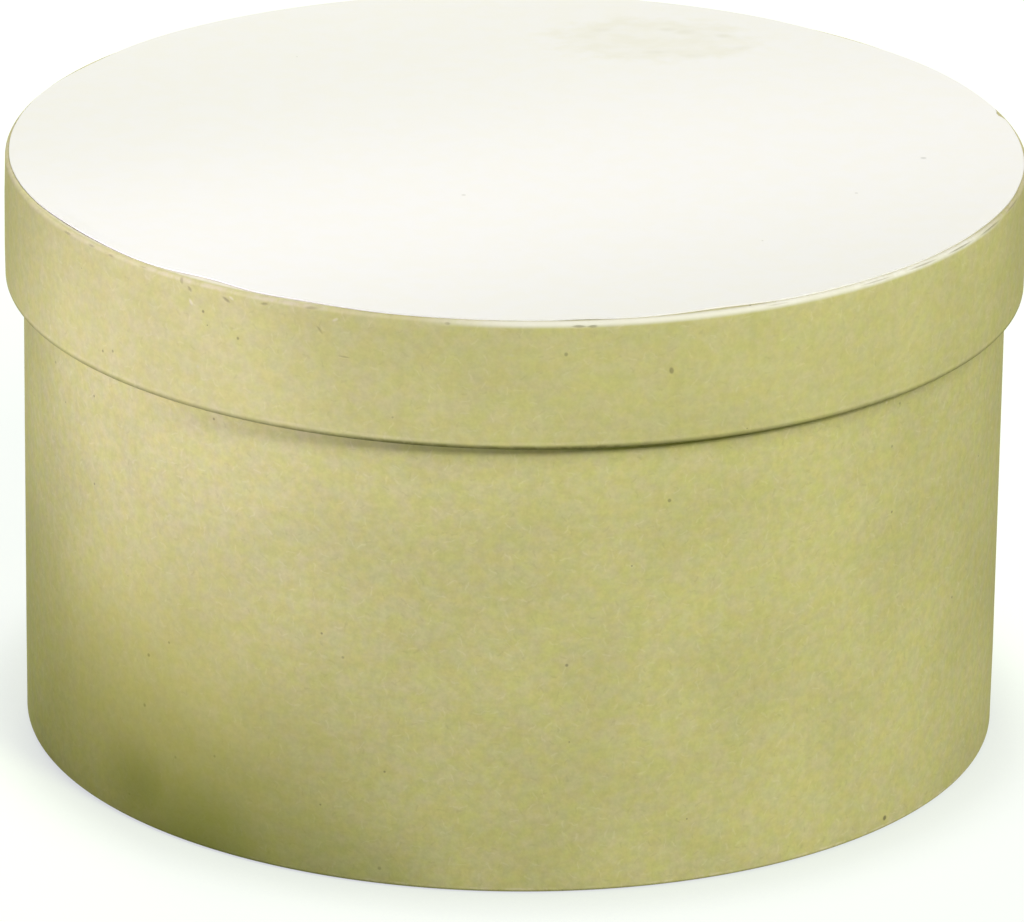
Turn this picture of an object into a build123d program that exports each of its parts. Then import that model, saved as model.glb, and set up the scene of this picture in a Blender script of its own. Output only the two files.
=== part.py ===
"""A round board box covered in kraft paper, with a lift-off lid.

Strips of solid board, rolled and butted, make the wall of the base and the rim of the lid. Round
boards close them. Cover paper is wrapped round the outside of each, lapped at the back and turned
over the edges. A lining and round sheets of paper hide the turned edges and the boards.

Millimetres. +Z is up, and the origin is the middle of the underside. The seams are at the back, +Y.
"""

import os
from math import cos, degrees, radians, sin

from build123d import *

os.makedirs("parts", exist_ok=True)

# Paper and board
cover_paper = 0.25
lining_paper = 0.2
tape_paper = 0.15
board_edge_radius = 0.5

# Base
base_diameter = 195.6
base_height = 116.4
base_wall_board = 1.8
base_floor_board = 2.0
base_floor_sheet = 0.2
base_underside_sheet = 0.2
base_rim_turn_in = 14.0
base_underside_turn_in = 12.0
base_lining_set_down = 5.0
base_underside_sheet_set_in = 2.0

# Lid
lid_depth = 26.0
lid_clearance = 1.45
lid_rim_board = 1.8
lid_top_board = 2.0
lid_top_sheet = 0.25
lid_ceiling_sheet = 0.2
lid_top_turn_in = 11.0
lid_rim_turn_in = 9.0
lid_lining_set_up = 3.5
lid_top_sheet_set_in = 0.6

# Seams: where each board strip butts and each wrap laps, as angles from +X towards +Y
board_butt_gap = 0.4
tape_width = 24.0
tape_glue_line = 0.1  # all round the tape in its bed
lap_width = 12.0
base_butt_azimuth = 118.0
base_lap_azimuth = 90.0
lid_butt_azimuth = 32.0
lid_lap_azimuth = 62.0

# How far a cut runs past what it cuts
overrun = 5.0

# Radii of the base, from the cover inwards
base_radius = base_diameter / 2
base_board_outer = base_radius - cover_paper
base_board_inner = base_board_outer - base_wall_board
base_lining_inner = base_board_inner - lining_paper

# Heights of the base. The turned edge of the cover is pressed into the boards, so the sheets lie flat.
base_cover_low = base_underside_sheet
base_board_low = base_cover_low + cover_paper
base_board_top = base_height - cover_paper
base_floor_top = base_cover_low + base_floor_board
base_lining_top = base_height - base_lining_set_down
base_underside_turn_edge = base_radius - base_underside_turn_in

# Radii of the lid, from the lining outwards. The lining slips over the base with a clearance.
lid_lining_inner = base_radius + lid_clearance
lid_board_inner = lid_lining_inner + lining_paper
lid_board_outer = lid_board_inner + lid_rim_board
lid_radius = lid_board_outer + cover_paper

# Heights of the lid, seated on the rim of the base
lid_ceiling_low = base_height
lid_top_board_low = lid_ceiling_low + lid_ceiling_sheet
lid_top_board_top = lid_top_board_low + lid_top_board
lid_cover_top = lid_top_board_top
lid_board_top = lid_cover_top - cover_paper
overall_height = lid_top_board_top + lid_top_sheet
lid_low = overall_height - lid_depth
lid_board_low = lid_low + cover_paper
lid_lining_low = lid_low + lid_lining_set_up
lid_top_turn_edge = lid_radius - lid_top_turn_in


def upright_plane(azimuth):
    """The plane through the axis of the box at an azimuth: its x is the radius and its y the height."""
    angle = radians(azimuth)
    return Plane(origin=(0, 0, 0), x_dir=(cos(angle), sin(angle), 0), z_dir=(sin(angle), -cos(angle), 0))


def section(inner, outer, low, high, mode=Mode.ADD):
    """A rectangle of the section of a ring or disc, between two radii and two heights."""
    with Locations(((inner + outer) / 2, (low + high) / 2)):
        Rectangle(outer - inner, high - low, mode=mode)


def patch(azimuth, width, inner, outer, low, high, mode=Mode.ADD):
    """A piece of ring, centred on an azimuth, as wide as width along its outer face."""
    sweep = degrees(width / outer)
    with BuildSketch(upright_plane(azimuth - sweep / 2)) as profile:
        section(inner, outer, low, high)
    revolve(profile.sketch, axis=Axis.Z, revolution_arc=sweep, mode=mode)


def cover(*points):
    """Cover paper that follows points through its middle, folded round the edges of the board."""
    with BuildSketch(Plane.XZ) as profile:
        with BuildLine():
            FilletPolyline(*points, radius=board_edge_radius + cover_paper / 2)
        trace(line_width=cover_paper)
    revolve(profile.sketch, axis=Axis.Z)


def disc(radius, low, thickness):
    """A flat round sheet or board."""
    with BuildSketch(Plane.XY.offset(low)) as outline:
        Circle(radius)
    extrude(outline.sketch, amount=thickness)


def open_butt_joint(azimuth, inner, outer, low, high):
    """Parts the two ends of a rolled strip, and presses in the bed of the tape that joins them."""
    with BuildSketch(upright_plane(azimuth)) as slit:
        section(inner - overrun, outer + overrun, low - overrun, high + overrun)
    extrude(slit.sketch, amount=board_butt_gap / 2, both=True, mode=Mode.SUBTRACT)
    bed_width = tape_width + 2 * tape_glue_line
    bed_floor = outer - tape_paper - 2 * tape_glue_line
    patch(azimuth, bed_width, bed_floor, outer, low, high, mode=Mode.SUBTRACT)


def gummed_tape(azimuth, board_outer, low, high):
    """Tape that lies in its bed over a butt joint, with a line of glue under it and over it."""
    tape_outer = board_outer - tape_glue_line
    patch(azimuth, tape_width, tape_outer - tape_paper, tape_outer, low, high)


# Base: the rolled strip of board, its top and its lower outside edge rounded by the roller
base_tape_low = base_board_low + board_edge_radius
base_tape_high = base_board_top - board_edge_radius
with BuildPart() as base_wall_board_part:
    with BuildSketch(Plane.XZ) as wall_section:
        section(base_board_inner, base_board_outer, base_board_low, base_board_top)
        section(
            base_board_inner,
            base_board_inner + cover_paper,
            base_height - base_rim_turn_in,
            base_board_top,
            mode=Mode.SUBTRACT,
        )
        fillet(wall_section.vertices().group_by(Axis.Y)[-1], radius=board_edge_radius)
        fillet(wall_section.vertices().group_by(Axis.Y)[0].sort_by(Axis.X)[-1], radius=board_edge_radius)
    revolve(axis=Axis.Z)
    open_butt_joint(base_butt_azimuth, base_board_inner, base_board_outer, base_tape_low, base_tape_high)
base_wall_board_part.part.label = "base_wall_board"

# Base: the gummed tape over the butt joint
with BuildPart() as base_wall_tape_part:
    gummed_tape(base_butt_azimuth, base_board_outer, base_tape_low, base_tape_high)
base_wall_tape_part.part.label = "base_wall_tape"

# Base: the floor, a disc that fits inside the wall, pressed in under its margin by the turned cover
with BuildPart() as base_floor_board_part:
    with BuildSketch(Plane.XZ):
        section(0, base_board_inner, base_cover_low, base_floor_top)
        section(
            base_underside_turn_edge,
            base_board_inner,
            base_cover_low,
            base_board_low,
            mode=Mode.SUBTRACT,
        )
    revolve(axis=Axis.Z)
base_floor_board_part.part.label = "base_floor_board"

# Base: the cover, from inside the rim, over it, down the wall and under the floor
base_fold_radius = base_radius - cover_paper / 2
with BuildPart() as base_cover_part:
    cover(
        (base_board_inner + cover_paper / 2, base_height - base_rim_turn_in),
        (base_board_inner + cover_paper / 2, base_height - cover_paper / 2),
        (base_fold_radius, base_height - cover_paper / 2),
        (base_fold_radius, base_cover_low + cover_paper / 2),
        (base_underside_turn_edge, base_cover_low + cover_paper / 2),
    )
    patch(
        base_lap_azimuth,
        lap_width,
        base_radius,
        base_radius + cover_paper,
        base_board_low + board_edge_radius,
        base_board_top - board_edge_radius,
    )
base_cover_part.part.label = "base_cover"

# Base: the lining, which stops short of the rim and leaves a band of the turned cover in view
with BuildPart() as base_lining_part:
    with BuildSketch(Plane.XZ):
        section(base_lining_inner, base_board_inner, base_floor_top, base_lining_top)
    revolve(axis=Axis.Z)
base_lining_part.part.label = "base_lining"

# Base: the round sheets on the floor and under it
with BuildPart() as base_floor_sheet_part:
    disc(base_lining_inner, base_floor_top, base_floor_sheet)
base_floor_sheet_part.part.label = "base_floor_sheet"

with BuildPart() as base_underside_sheet_part:
    disc(base_radius - base_underside_sheet_set_in, 0, base_underside_sheet)
base_underside_sheet_part.part.label = "base_underside_sheet"

# Lid: the rolled strip of board of the rim
lid_tape_low = lid_board_low + board_edge_radius
lid_tape_high = lid_board_top - board_edge_radius
with BuildPart() as lid_rim_board_part:
    with BuildSketch(Plane.XZ) as rim_section:
        section(lid_board_inner, lid_board_outer, lid_board_low, lid_board_top)
        section(
            lid_board_inner,
            lid_board_inner + cover_paper,
            lid_board_low,
            lid_low + lid_rim_turn_in,
            mode=Mode.SUBTRACT,
        )
        fillet(rim_section.vertices().group_by(Axis.Y)[0], radius=board_edge_radius)
        fillet(rim_section.vertices().group_by(Axis.Y)[-1].sort_by(Axis.X)[-1], radius=board_edge_radius)
    revolve(axis=Axis.Z)
    open_butt_joint(lid_butt_azimuth, lid_board_inner, lid_board_outer, lid_tape_low, lid_tape_high)
lid_rim_board_part.part.label = "lid_rim_board"

# Lid: the gummed tape over the butt joint
with BuildPart() as lid_rim_tape_part:
    gummed_tape(lid_butt_azimuth, lid_board_outer, lid_tape_low, lid_tape_high)
lid_rim_tape_part.part.label = "lid_rim_tape"

# Lid: the top, a disc that fits inside the rim, pressed in over its margin by the turned cover
with BuildPart() as lid_top_board_part:
    with BuildSketch(Plane.XZ):
        section(0, lid_board_inner, lid_top_board_low, lid_top_board_top)
        section(
            lid_top_turn_edge,
            lid_board_inner,
            lid_board_top,
            lid_top_board_top,
            mode=Mode.SUBTRACT,
        )
    revolve(axis=Axis.Z)
lid_top_board_part.part.label = "lid_top_board"

# Lid: the cover, from the margin of the top, down the rim and up inside its lower edge
lid_fold_radius = lid_radius - cover_paper / 2
with BuildPart() as lid_cover_part:
    cover(
        (lid_top_turn_edge, lid_cover_top - cover_paper / 2),
        (lid_fold_radius, lid_cover_top - cover_paper / 2),
        (lid_fold_radius, lid_low + cover_paper / 2),
        (lid_board_inner + cover_paper / 2, lid_low + cover_paper / 2),
        (lid_board_inner + cover_paper / 2, lid_low + lid_rim_turn_in),
    )
    patch(
        lid_lap_azimuth,
        lap_width,
        lid_radius,
        lid_radius + cover_paper,
        lid_board_low + board_edge_radius,
        lid_board_top - board_edge_radius,
    )
lid_cover_part.part.label = "lid_cover"

# Lid: the lining of the rim, which stops short of the lower edge
with BuildPart() as lid_lining_part:
    with BuildSketch(Plane.XZ):
        section(lid_lining_inner, lid_board_inner, lid_lining_low, lid_top_board_low)
    revolve(axis=Axis.Z)
lid_lining_part.part.label = "lid_lining"

# Lid: the round sheets on the top and under it
with BuildPart() as lid_top_sheet_part:
    disc(lid_radius - lid_top_sheet_set_in, lid_top_board_top, lid_top_sheet)
lid_top_sheet_part.part.label = "lid_top_sheet"

with BuildPart() as lid_ceiling_sheet_part:
    disc(lid_lining_inner, lid_ceiling_low, lid_ceiling_sheet)
lid_ceiling_sheet_part.part.label = "lid_ceiling_sheet"

pieces = [
    base_wall_board_part,
    base_wall_tape_part,
    base_floor_board_part,
    base_cover_part,
    base_lining_part,
    base_floor_sheet_part,
    base_underside_sheet_part,
    lid_rim_board_part,
    lid_rim_tape_part,
    lid_top_board_part,
    lid_cover_part,
    lid_lining_part,
    lid_top_sheet_part,
    lid_ceiling_sheet_part,
]
for piece in pieces:
    export_step(piece.part, f"parts/{piece.part.label}.step")
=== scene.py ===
"""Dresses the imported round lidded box: a base and a slip lid of rolled board, papered in kraft.

Metres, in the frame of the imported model: +Z up, the origin in the middle of the underside, the
laps of the covers at the back, +Y. Azimuths run from +X towards +Y, so the front is at -90 degrees.
"""

import logging
import math
from dataclasses import dataclass, replace
from enum import Enum
from typing import ClassVar

import bmesh
import bpy
import numpy as np
from mathutils import Matrix, Vector


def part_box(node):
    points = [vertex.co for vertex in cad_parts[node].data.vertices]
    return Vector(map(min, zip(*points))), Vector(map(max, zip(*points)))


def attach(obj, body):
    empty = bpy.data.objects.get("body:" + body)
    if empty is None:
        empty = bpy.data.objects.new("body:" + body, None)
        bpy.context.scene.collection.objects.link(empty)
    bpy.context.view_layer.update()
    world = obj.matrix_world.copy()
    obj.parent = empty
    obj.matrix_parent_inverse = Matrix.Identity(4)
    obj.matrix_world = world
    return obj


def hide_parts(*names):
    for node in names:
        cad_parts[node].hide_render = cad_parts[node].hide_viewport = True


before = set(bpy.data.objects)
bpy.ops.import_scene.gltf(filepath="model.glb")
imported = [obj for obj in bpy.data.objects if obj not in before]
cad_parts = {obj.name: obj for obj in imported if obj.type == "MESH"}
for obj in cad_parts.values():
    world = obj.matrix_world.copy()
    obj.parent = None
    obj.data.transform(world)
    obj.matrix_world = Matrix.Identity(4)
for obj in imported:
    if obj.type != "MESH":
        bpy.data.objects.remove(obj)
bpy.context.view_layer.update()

MILLIMETRE = 0.001
FULL_TURN = 2 * math.pi
LOG = logging.getLogger("round_box")

Socket = bpy.types.NodeSocket
Colour = tuple[float, float, float]
Span = tuple[float, float]

ROUGHNESS_SPAN: Span = (0.2, 0.8)


class Body(Enum):
    """The two bodies of the box."""

    BASE = "base"
    LID = "lid"


class Slot(Enum):
    """The record's material slots that the sheets of paper take."""

    KRAFT_COVER = "kraft_cover"
    TOP_SHEET = "top_sheet"
    KRAFT_LINING = "kraft_lining"


class Facing(Enum):
    """Which way the good face of a round sheet looks."""

    UP = 1.0
    DOWN = -1.0


@dataclass(frozen=True)
class Ink:
    """How one kind of mark looks.

    Attributes:
        colour: colour in its middle.
        share: share of that colour at full strength.
        core: share of its radius that has full strength.
        height: how far its middle stands out, in steps of the paper's grain.
    """

    colour: Colour
    share: float
    core: float
    height: float = 0.0


class MarkKind(Enum):
    """What a mark on the paper is. Some kinds are painted shade."""

    SPECK = Ink((0.12, 0.11, 0.06), share=0.75, core=0.4)
    # Dents, and long thin dark marks that are painted shadow lines.
    DENT_AND_PAINTED_SHADE = Ink((0.26, 0.22, 0.12), share=0.5, core=0.2, height=-5.0)
    CHIP = Ink((0.74, 0.66, 0.5), share=0.55, core=0.3, height=2.0)
    SMUDGE = Ink((0.52, 0.5, 0.34), share=0.45, core=0.0)
    # Dark olive patches, painted shade.
    PAINTED_SHADE = Ink((0.15, 0.19, 0.02), share=0.7, core=0.0)
    # A yellow tint painted over shade on the wall.
    PAINTED_SHADE_TINT = Ink((0.54, 0.51, 0.09), share=0.45, core=0.0)


@dataclass(frozen=True)
class Noise:
    """Soft noise around one half.

    Attributes:
        size: size of its blotches, in millimetres.
        detail: how many finer layers it has.
        rough: strength of the finer layers.
    """

    size: float
    detail: float = 2.0
    rough: float = 0.5


@dataclass(frozen=True)
class Fibres:
    """Short curled fibres that lie every way. Sizes are in millimetres.

    Attributes:
        cell: size of the cell that holds one fibre.
        length: half the length of a fibre.
        width: half its width.
        share: share of the cells that hold one.
        CURL_RATE: how often a fibre curls along half its length.
        CURL: how far it curls, in halves of its length.
        FULL_LENGTH: share of half its length that has full strength.
        FULL_WIDTH: share of half its width that has full strength.
    """

    cell: float
    length: float
    width: float
    share: float

    CURL_RATE: ClassVar[float] = 0.9
    CURL: ClassVar[float] = 1.1
    FULL_LENGTH: ClassVar[float] = 0.6
    FULL_WIDTH: ClassVar[float] = 0.3


@dataclass(frozen=True)
class Specks:
    """Scattered round specks of uneven size. Sizes are in millimetres.

    Attributes:
        cell: size of the cell that holds one speck.
        size: radius of the largest.
        share: share of the cells that hold one.
        SMALLEST: radius of the smallest, as a share of the largest.
        CORE: share of a speck's radius that has full strength.
    """

    cell: float
    size: float
    share: float

    SMALLEST: ClassVar[float] = 0.4
    CORE: ClassVar[float] = 0.45


def smooth(value: np.ndarray) -> np.ndarray:
    """Eases a value from 0 to 1, flat before and after."""
    held = np.clip(value, 0.0, 1.0)
    return held * held * (3.0 - 2.0 * held)


@dataclass(frozen=True)
class Ripple:
    """Slow unevenness of paper, which comes round to itself after one turn of the box.

    Attributes:
        seed: picks the pattern.
        depth: from its lowest to its highest place.
        waves: the most waves in one turn.
        climb: the most radians that a wave shifts over a metre of the sheet's other way.
        WEIGHTS: the least and the most that one wave counts for.
    """

    seed: int
    depth: float
    waves: int = 9
    climb: float = 45.0

    WEIGHTS: ClassVar[Span] = (0.4, 1.0)

    def at(self, turn: np.ndarray, rise: np.ndarray) -> np.ndarray:
        """Height of the unevenness.

        Args:
            turn: azimuths, in radians.
            rise: places along the sheet's other way.

        Returns:
            Heights from 0 to the depth, for each pair of places.
        """
        draw = np.random.default_rng(self.seed)
        total = np.zeros(np.broadcast(turn, rise).shape)
        weights = 0.0
        for waves in range(1, self.waves + 1):
            weight = draw.uniform(*self.WEIGHTS) / math.sqrt(waves)
            climb = draw.uniform(-self.climb, self.climb)
            total += weight * np.cos(waves * turn + climb * rise + draw.uniform(0.0, FULL_TURN))
            weights += weight
        return self.depth * (0.5 + 0.5 * total / weights)


@dataclass(frozen=True)
class Section:
    """Folded paper in the plane of radius and height.

    Attributes:
        places: radius and height of points along the middle of the paper, a row each.
        ways: unit way along the paper at each point.
        run: length along the paper up to each point.
        folds: length along the paper up to the middle of each fold.
    """

    places: np.ndarray
    ways: np.ndarray
    run: np.ndarray
    folds: tuple[float, ...]

    @property
    def faces(self) -> np.ndarray:
        """Unit way that the good face looks at each point, to the left of the way along it."""
        return np.stack([-self.ways[:, 1], self.ways[:, 0]], axis=-1)

    @classmethod
    def folded(
        cls,
        corners: list[tuple[float, float]],
        fold_radius: float,
        step: float,
        fold_steps: int = 6,
    ) -> "Section":
        """Rounds each corner of a line and divides the line evenly.

        Args:
            corners: radius and height of the two ends and of the folds between them.
            fold_radius: radius of each fold, through the middle of the paper.
            step: longest step on the straight runs.
            fold_steps: steps round each fold.

        Returns:
            The folded section.
        """
        line = [np.array(corner) for corner in corners]
        places, ways = [line[0]], [(line[1] - line[0]) / np.linalg.norm(line[1] - line[0])]
        fold_ends = []
        for before, corner, after in zip(line, line[1:], line[2:]):
            way_in = (corner - before) / np.linalg.norm(corner - before)
            way_out = (after - corner) / np.linalg.norm(after - corner)
            cross = way_in[0] * way_out[1] - way_in[1] * way_out[0]
            turn = math.atan2(cross, float(way_in @ way_out))
            side = -math.copysign(1.0, turn)
            tangent_point = corner - way_in * fold_radius * math.tan(abs(turn) / 2)
            centre = tangent_point - side * fold_radius * np.array([-way_in[1], way_in[0]])
            cls._straight(places, ways, tangent_point, way_in, step)
            for share in np.linspace(0.0, 1.0, fold_steps + 1)[1:]:
                bent = turn * share
                way = np.array([
                    way_in[0] * math.cos(bent) - way_in[1] * math.sin(bent),
                    way_in[0] * math.sin(bent) + way_in[1] * math.cos(bent),
                ])
                places.append(centre + side * fold_radius * np.array([-way[1], way[0]]))
                ways.append(way)
            fold_ends.append(len(places) - 1)
        cls._straight(places, ways, line[-1], ways[-1], step)
        placed = np.array(places)
        lengths = np.linalg.norm(np.diff(placed, axis=0), axis=1)
        run = np.concatenate([[0.0], np.cumsum(lengths)])
        folds = tuple(float(run[end] + run[end - fold_steps]) / 2 for end in fold_ends)
        return cls(placed, np.array(ways), run, folds)

    @staticmethod
    def _straight(
        places: list[np.ndarray],
        ways: list[np.ndarray],
        end: np.ndarray,
        way: np.ndarray,
        step: float,
    ) -> None:
        """Adds the points of a straight run to a section that is being made.

        Args:
            places: points so far, which the run starts from.
            ways: ways so far.
            end: where the run ends.
            way: unit way along the run.
            step: longest step.
        """
        start = places[-1]
        count = max(1, math.ceil(float(np.linalg.norm(end - start)) / step))
        for share in np.linspace(0.0, 1.0, count + 1)[1:]:
            places.append(start + (end - start) * share)
            ways.append(way)


@dataclass(frozen=True)
class Shell:
    """A sheet of paper as a closed mesh between its good face and its back.

    Attributes:
        front: points of the good face, a grid of rows by columns.
        back: points of the back, as many.
        flat: place of each point on the paper laid flat, in metres.
        round_disc: whether the rows close round a hub, as on a disc.
        FLAT_LAYER: name of the map that holds those places in the mesh.
        CREASE: angle between two faces from which their edge is sharp.
    """

    front: np.ndarray
    back: np.ndarray
    flat: np.ndarray
    round_disc: bool

    FLAT_LAYER: ClassVar[str] = "paper_flat"
    CREASE: ClassVar[float] = math.radians(35.0)

    def piece(self, name: str) -> bpy.types.Object:
        """Makes the mesh.

        Args:
            name: name of the piece.

        Returns:
            The object, linked to the scene.
        """
        rows, columns = self.front.shape[:2]
        number = np.arange(rows * columns).reshape(rows, columns)
        under = number + rows * columns
        if self.round_disc:
            number, under = np.vstack([number, number[:1]]), np.vstack([under, under[:1]])
        faces = self._quads(number) + self._quads(under) + self._edge(number[:, -1], under[:, -1])
        points = [self.front.reshape(-1, 3), self.back.reshape(-1, 3)]
        flats = [self.flat.reshape(-1, 2), self.flat.reshape(-1, 2)]
        if self.round_disc:
            hubs = [2 * rows * columns, 2 * rows * columns + 1]
            points += [self.front[:, :1].mean(axis=0), self.back[:, :1].mean(axis=0)]
            flats += [np.zeros((2, 2))]
            for hub, ring in zip(hubs, (number[:, 0], under[:, 0])):
                faces += [(hub, int(a), int(b)) for a, b in zip(ring, ring[1:])]
        else:
            faces += self._edge(number[:, 0], under[:, 0])
            faces += self._edge(number[0], under[0]) + self._edge(number[-1], under[-1])
        mesh = bpy.data.meshes.new(name)
        mesh.from_pydata(np.vstack(points).tolist(), [], faces)
        shaped = bmesh.new()
        shaped.from_mesh(mesh)
        bmesh.ops.recalc_face_normals(shaped, faces=shaped.faces)
        shaped.to_mesh(mesh)
        shaped.free()
        self._lay_flat(mesh, np.vstack(flats))
        mesh.shade_smooth()
        mesh.set_sharp_from_angle(angle=self.CREASE)
        piece = bpy.data.objects.new(name, mesh)
        bpy.context.scene.collection.objects.link(piece)
        return piece

    @staticmethod
    def _quads(number: np.ndarray) -> list[tuple[int, ...]]:
        """Faces between the rows and columns of a grid of numbered points."""
        corners = (number[:-1, :-1], number[1:, :-1], number[1:, 1:], number[:-1, 1:])
        return list(map(tuple, np.stack([row.ravel() for row in corners], axis=-1).tolist()))

    @staticmethod
    def _edge(upper: np.ndarray, lower: np.ndarray) -> list[tuple[int, ...]]:
        """Faces of a cut edge, between a line of the front and the same line of the back."""
        corners = (upper[:-1], upper[1:], lower[1:], lower[:-1])
        return list(map(tuple, np.stack(corners, axis=-1).tolist()))

    def _lay_flat(self, mesh: bpy.types.Mesh, flats: np.ndarray) -> None:
        """Writes each point's place on the flat paper as the mesh's own map.

        Args:
            mesh: the mesh.
            flats: places on the flat paper, in the order of the mesh's points.
        """
        layer = mesh.uv_layers.new(name=self.FLAT_LAYER)
        order = np.zeros(len(mesh.loops), dtype=np.int32)
        mesh.loops.foreach_get("vertex_index", order)
        layer.data.foreach_set("uv", flats[order].astype(np.float32).ravel())


@dataclass(frozen=True)
class Seam:
    """A joint of the board that shows through the cover as a soft hollow.

    Attributes:
        azimuth: where it is, in degrees.
        depth: depth of the hollow.
        width: width of the hollow.
    """

    azimuth: float
    depth: float = 0.12 * MILLIMETRE
    width: float = 3.0 * MILLIMETRE

    def at(self, turn: np.ndarray, radius: float) -> np.ndarray:
        """Depth of the hollow at azimuths, in radians, on a wall of that radius."""
        off = (turn - math.radians(self.azimuth) + math.pi) % FULL_TURN - math.pi
        return self.depth * np.exp(-((off * radius / (self.width / 2)) ** 2))


@dataclass(frozen=True)
class Wrap:
    """A strip of paper wrapped once round the box, with its outer end lapped over its inner end.

    Attributes:
        section: the folded strip, from one cut edge to the other.
        paper: thickness.
        radius: the radius that lengths round the box are measured at.
        lap_azimuth: middle of the lap, in degrees.
        lap_width: width of the lap.
        proud: pairs of run and share, how far the lap's outer end stands proud there. Where it
            doesn't, its inner end is pressed into the board.
        relief: unevenness of the face, outwards.
        relief_share: pairs of run and share of the relief.
        cut: unevenness of the cut edges.
        seam: the joint of the board under it, if it shows.
        STEPS: steps of the mesh round the box.
        RAMP: how wide the paper rises or sinks beside the lap.
        RAMP_STEPS: points of the mesh across that rise.
        GLUE: thickness of the glue in the lap.
        HEM: how wide the unevenness of a cut edge reaches into the paper.
    """

    section: Section
    paper: float
    radius: float
    lap_azimuth: float
    lap_width: float
    proud: tuple[tuple[float, float], ...]
    relief: Ripple
    relief_share: tuple[tuple[float, float], ...]
    cut: Ripple
    seam: Seam | None = None

    STEPS: ClassVar[int] = 480
    RAMP: ClassVar[float] = 2.2 * MILLIMETRE
    RAMP_STEPS: ClassVar[int] = 6
    GLUE: ClassVar[float] = 0.03 * MILLIMETRE
    HEM: ClassVar[float] = 4.0 * MILLIMETRE

    def shell(self) -> Shell:
        """Lays the strip round the box.

        Returns:
            Its closed shell.
        """
        lap, ramp = self.lap_width / self.radius, self.RAMP / self.radius
        turn = np.unique(np.concatenate([
            np.linspace(0.0, FULL_TURN + lap, self.STEPS + 1),
            np.linspace(lap, lap + ramp, self.RAMP_STEPS),
            np.linspace(FULL_TURN - ramp, FULL_TURN, self.RAMP_STEPS),
        ]))[:, None]
        run = self.section.run[None, :]
        start = math.radians(self.lap_azimuth) - lap / 2
        end_cut = self.cut.at(run, run) / self.radius
        shifted = turn - end_cut * smooth((turn - FULL_TURN) / lap)
        azimuth = start + shifted
        proud = np.interp(run, *zip(*self.proud))
        outer_end = smooth((turn - FULL_TURN + ramp) / ramp)
        inner_end = 1.0 - smooth((turn - lap) / ramp)
        layer = self.paper + self.GLUE
        relief = self.relief.at(azimuth, run)
        if self.seam:
            relief = relief - self.seam.at(azimuth, self.radius)
        offset = np.interp(run, *zip(*self.relief_share)) * relief
        offset = offset + layer * (outer_end * proud - inner_end * (1.0 - proud))
        trimmed = self._trim(azimuth, run)
        front = self._placed(azimuth, trimmed, offset + self.paper / 2)
        back = self._placed(azimuth, trimmed, offset - self.paper / 2)
        flat = np.stack(np.broadcast_arrays(shifted * self.radius, run), axis=-1)
        return Shell(front, back, flat, round_disc=False)

    def across(self, azimuth: float, height: float) -> tuple[float, float]:
        """Where a place on the outside of the wall lies on the flat paper.

        Args:
            azimuth: azimuth of the place, in degrees.
            height: its height.

        Returns:
            Its place on the flat paper.
        """
        start = self.lap_azimuth - math.degrees(self.lap_width / self.radius) / 2
        turn = math.radians((azimuth - start) % 360.0)
        radii, heights = self.section.places.T
        wall = radii > radii.max() - self.paper / 2
        run = np.interp(-height, -heights[wall], self.section.run[wall])
        return turn * self.radius, float(run)

    def _trim(self, azimuth: np.ndarray, run: np.ndarray) -> np.ndarray:
        """Middle of the paper with its two cut edges made uneven.

        Args:
            azimuth: azimuth of each place.
            run: run of each place.

        Returns:
            Radius and height of each place.
        """
        first = np.clip(1.0 - run / self.HEM, 0.0, 1.0)
        last = np.clip(1.0 - (run[0, -1] - run) / self.HEM, 0.0, 1.0)
        short = first * self.cut.at(azimuth, 0.0) - last * self.cut.at(azimuth, run[0, -1])
        return self.section.places[None] + self.section.ways[None] * short[..., None]

    def _placed(self, azimuth: np.ndarray, places: np.ndarray, offset: np.ndarray) -> np.ndarray:
        """Points of one side of the paper.

        Args:
            azimuth: azimuth of each place.
            places: radius and height of the middle of the paper.
            offset: how far towards its good face each point lies.

        Returns:
            The points.
        """
        moved = places + self.section.faces[None] * offset[..., None]
        radius, height = moved[..., 0], moved[..., 1]
        return np.stack([radius * np.cos(azimuth), radius * np.sin(azimuth), height], axis=-1)


@dataclass(frozen=True)
class EdgeFault:
    """A stretch where the edge of a round sheet was cut short or has come unstuck.

    Attributes:
        azimuth: its middle, in degrees.
        spread: half its width, in degrees.
        short: how far short the sheet is there.
        lift: how far its edge stands off there.
    """

    azimuth: float
    spread: float
    short: float = 0.0
    lift: float = 0.0

    def share(self, turn: np.ndarray) -> np.ndarray:
        """How much of the fault there is at azimuths, in radians, from 0 to 1."""
        off = (turn - math.radians(self.azimuth) + math.pi) % FULL_TURN - math.pi
        return np.exp(-((off / math.radians(self.spread)) ** 2))


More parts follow.
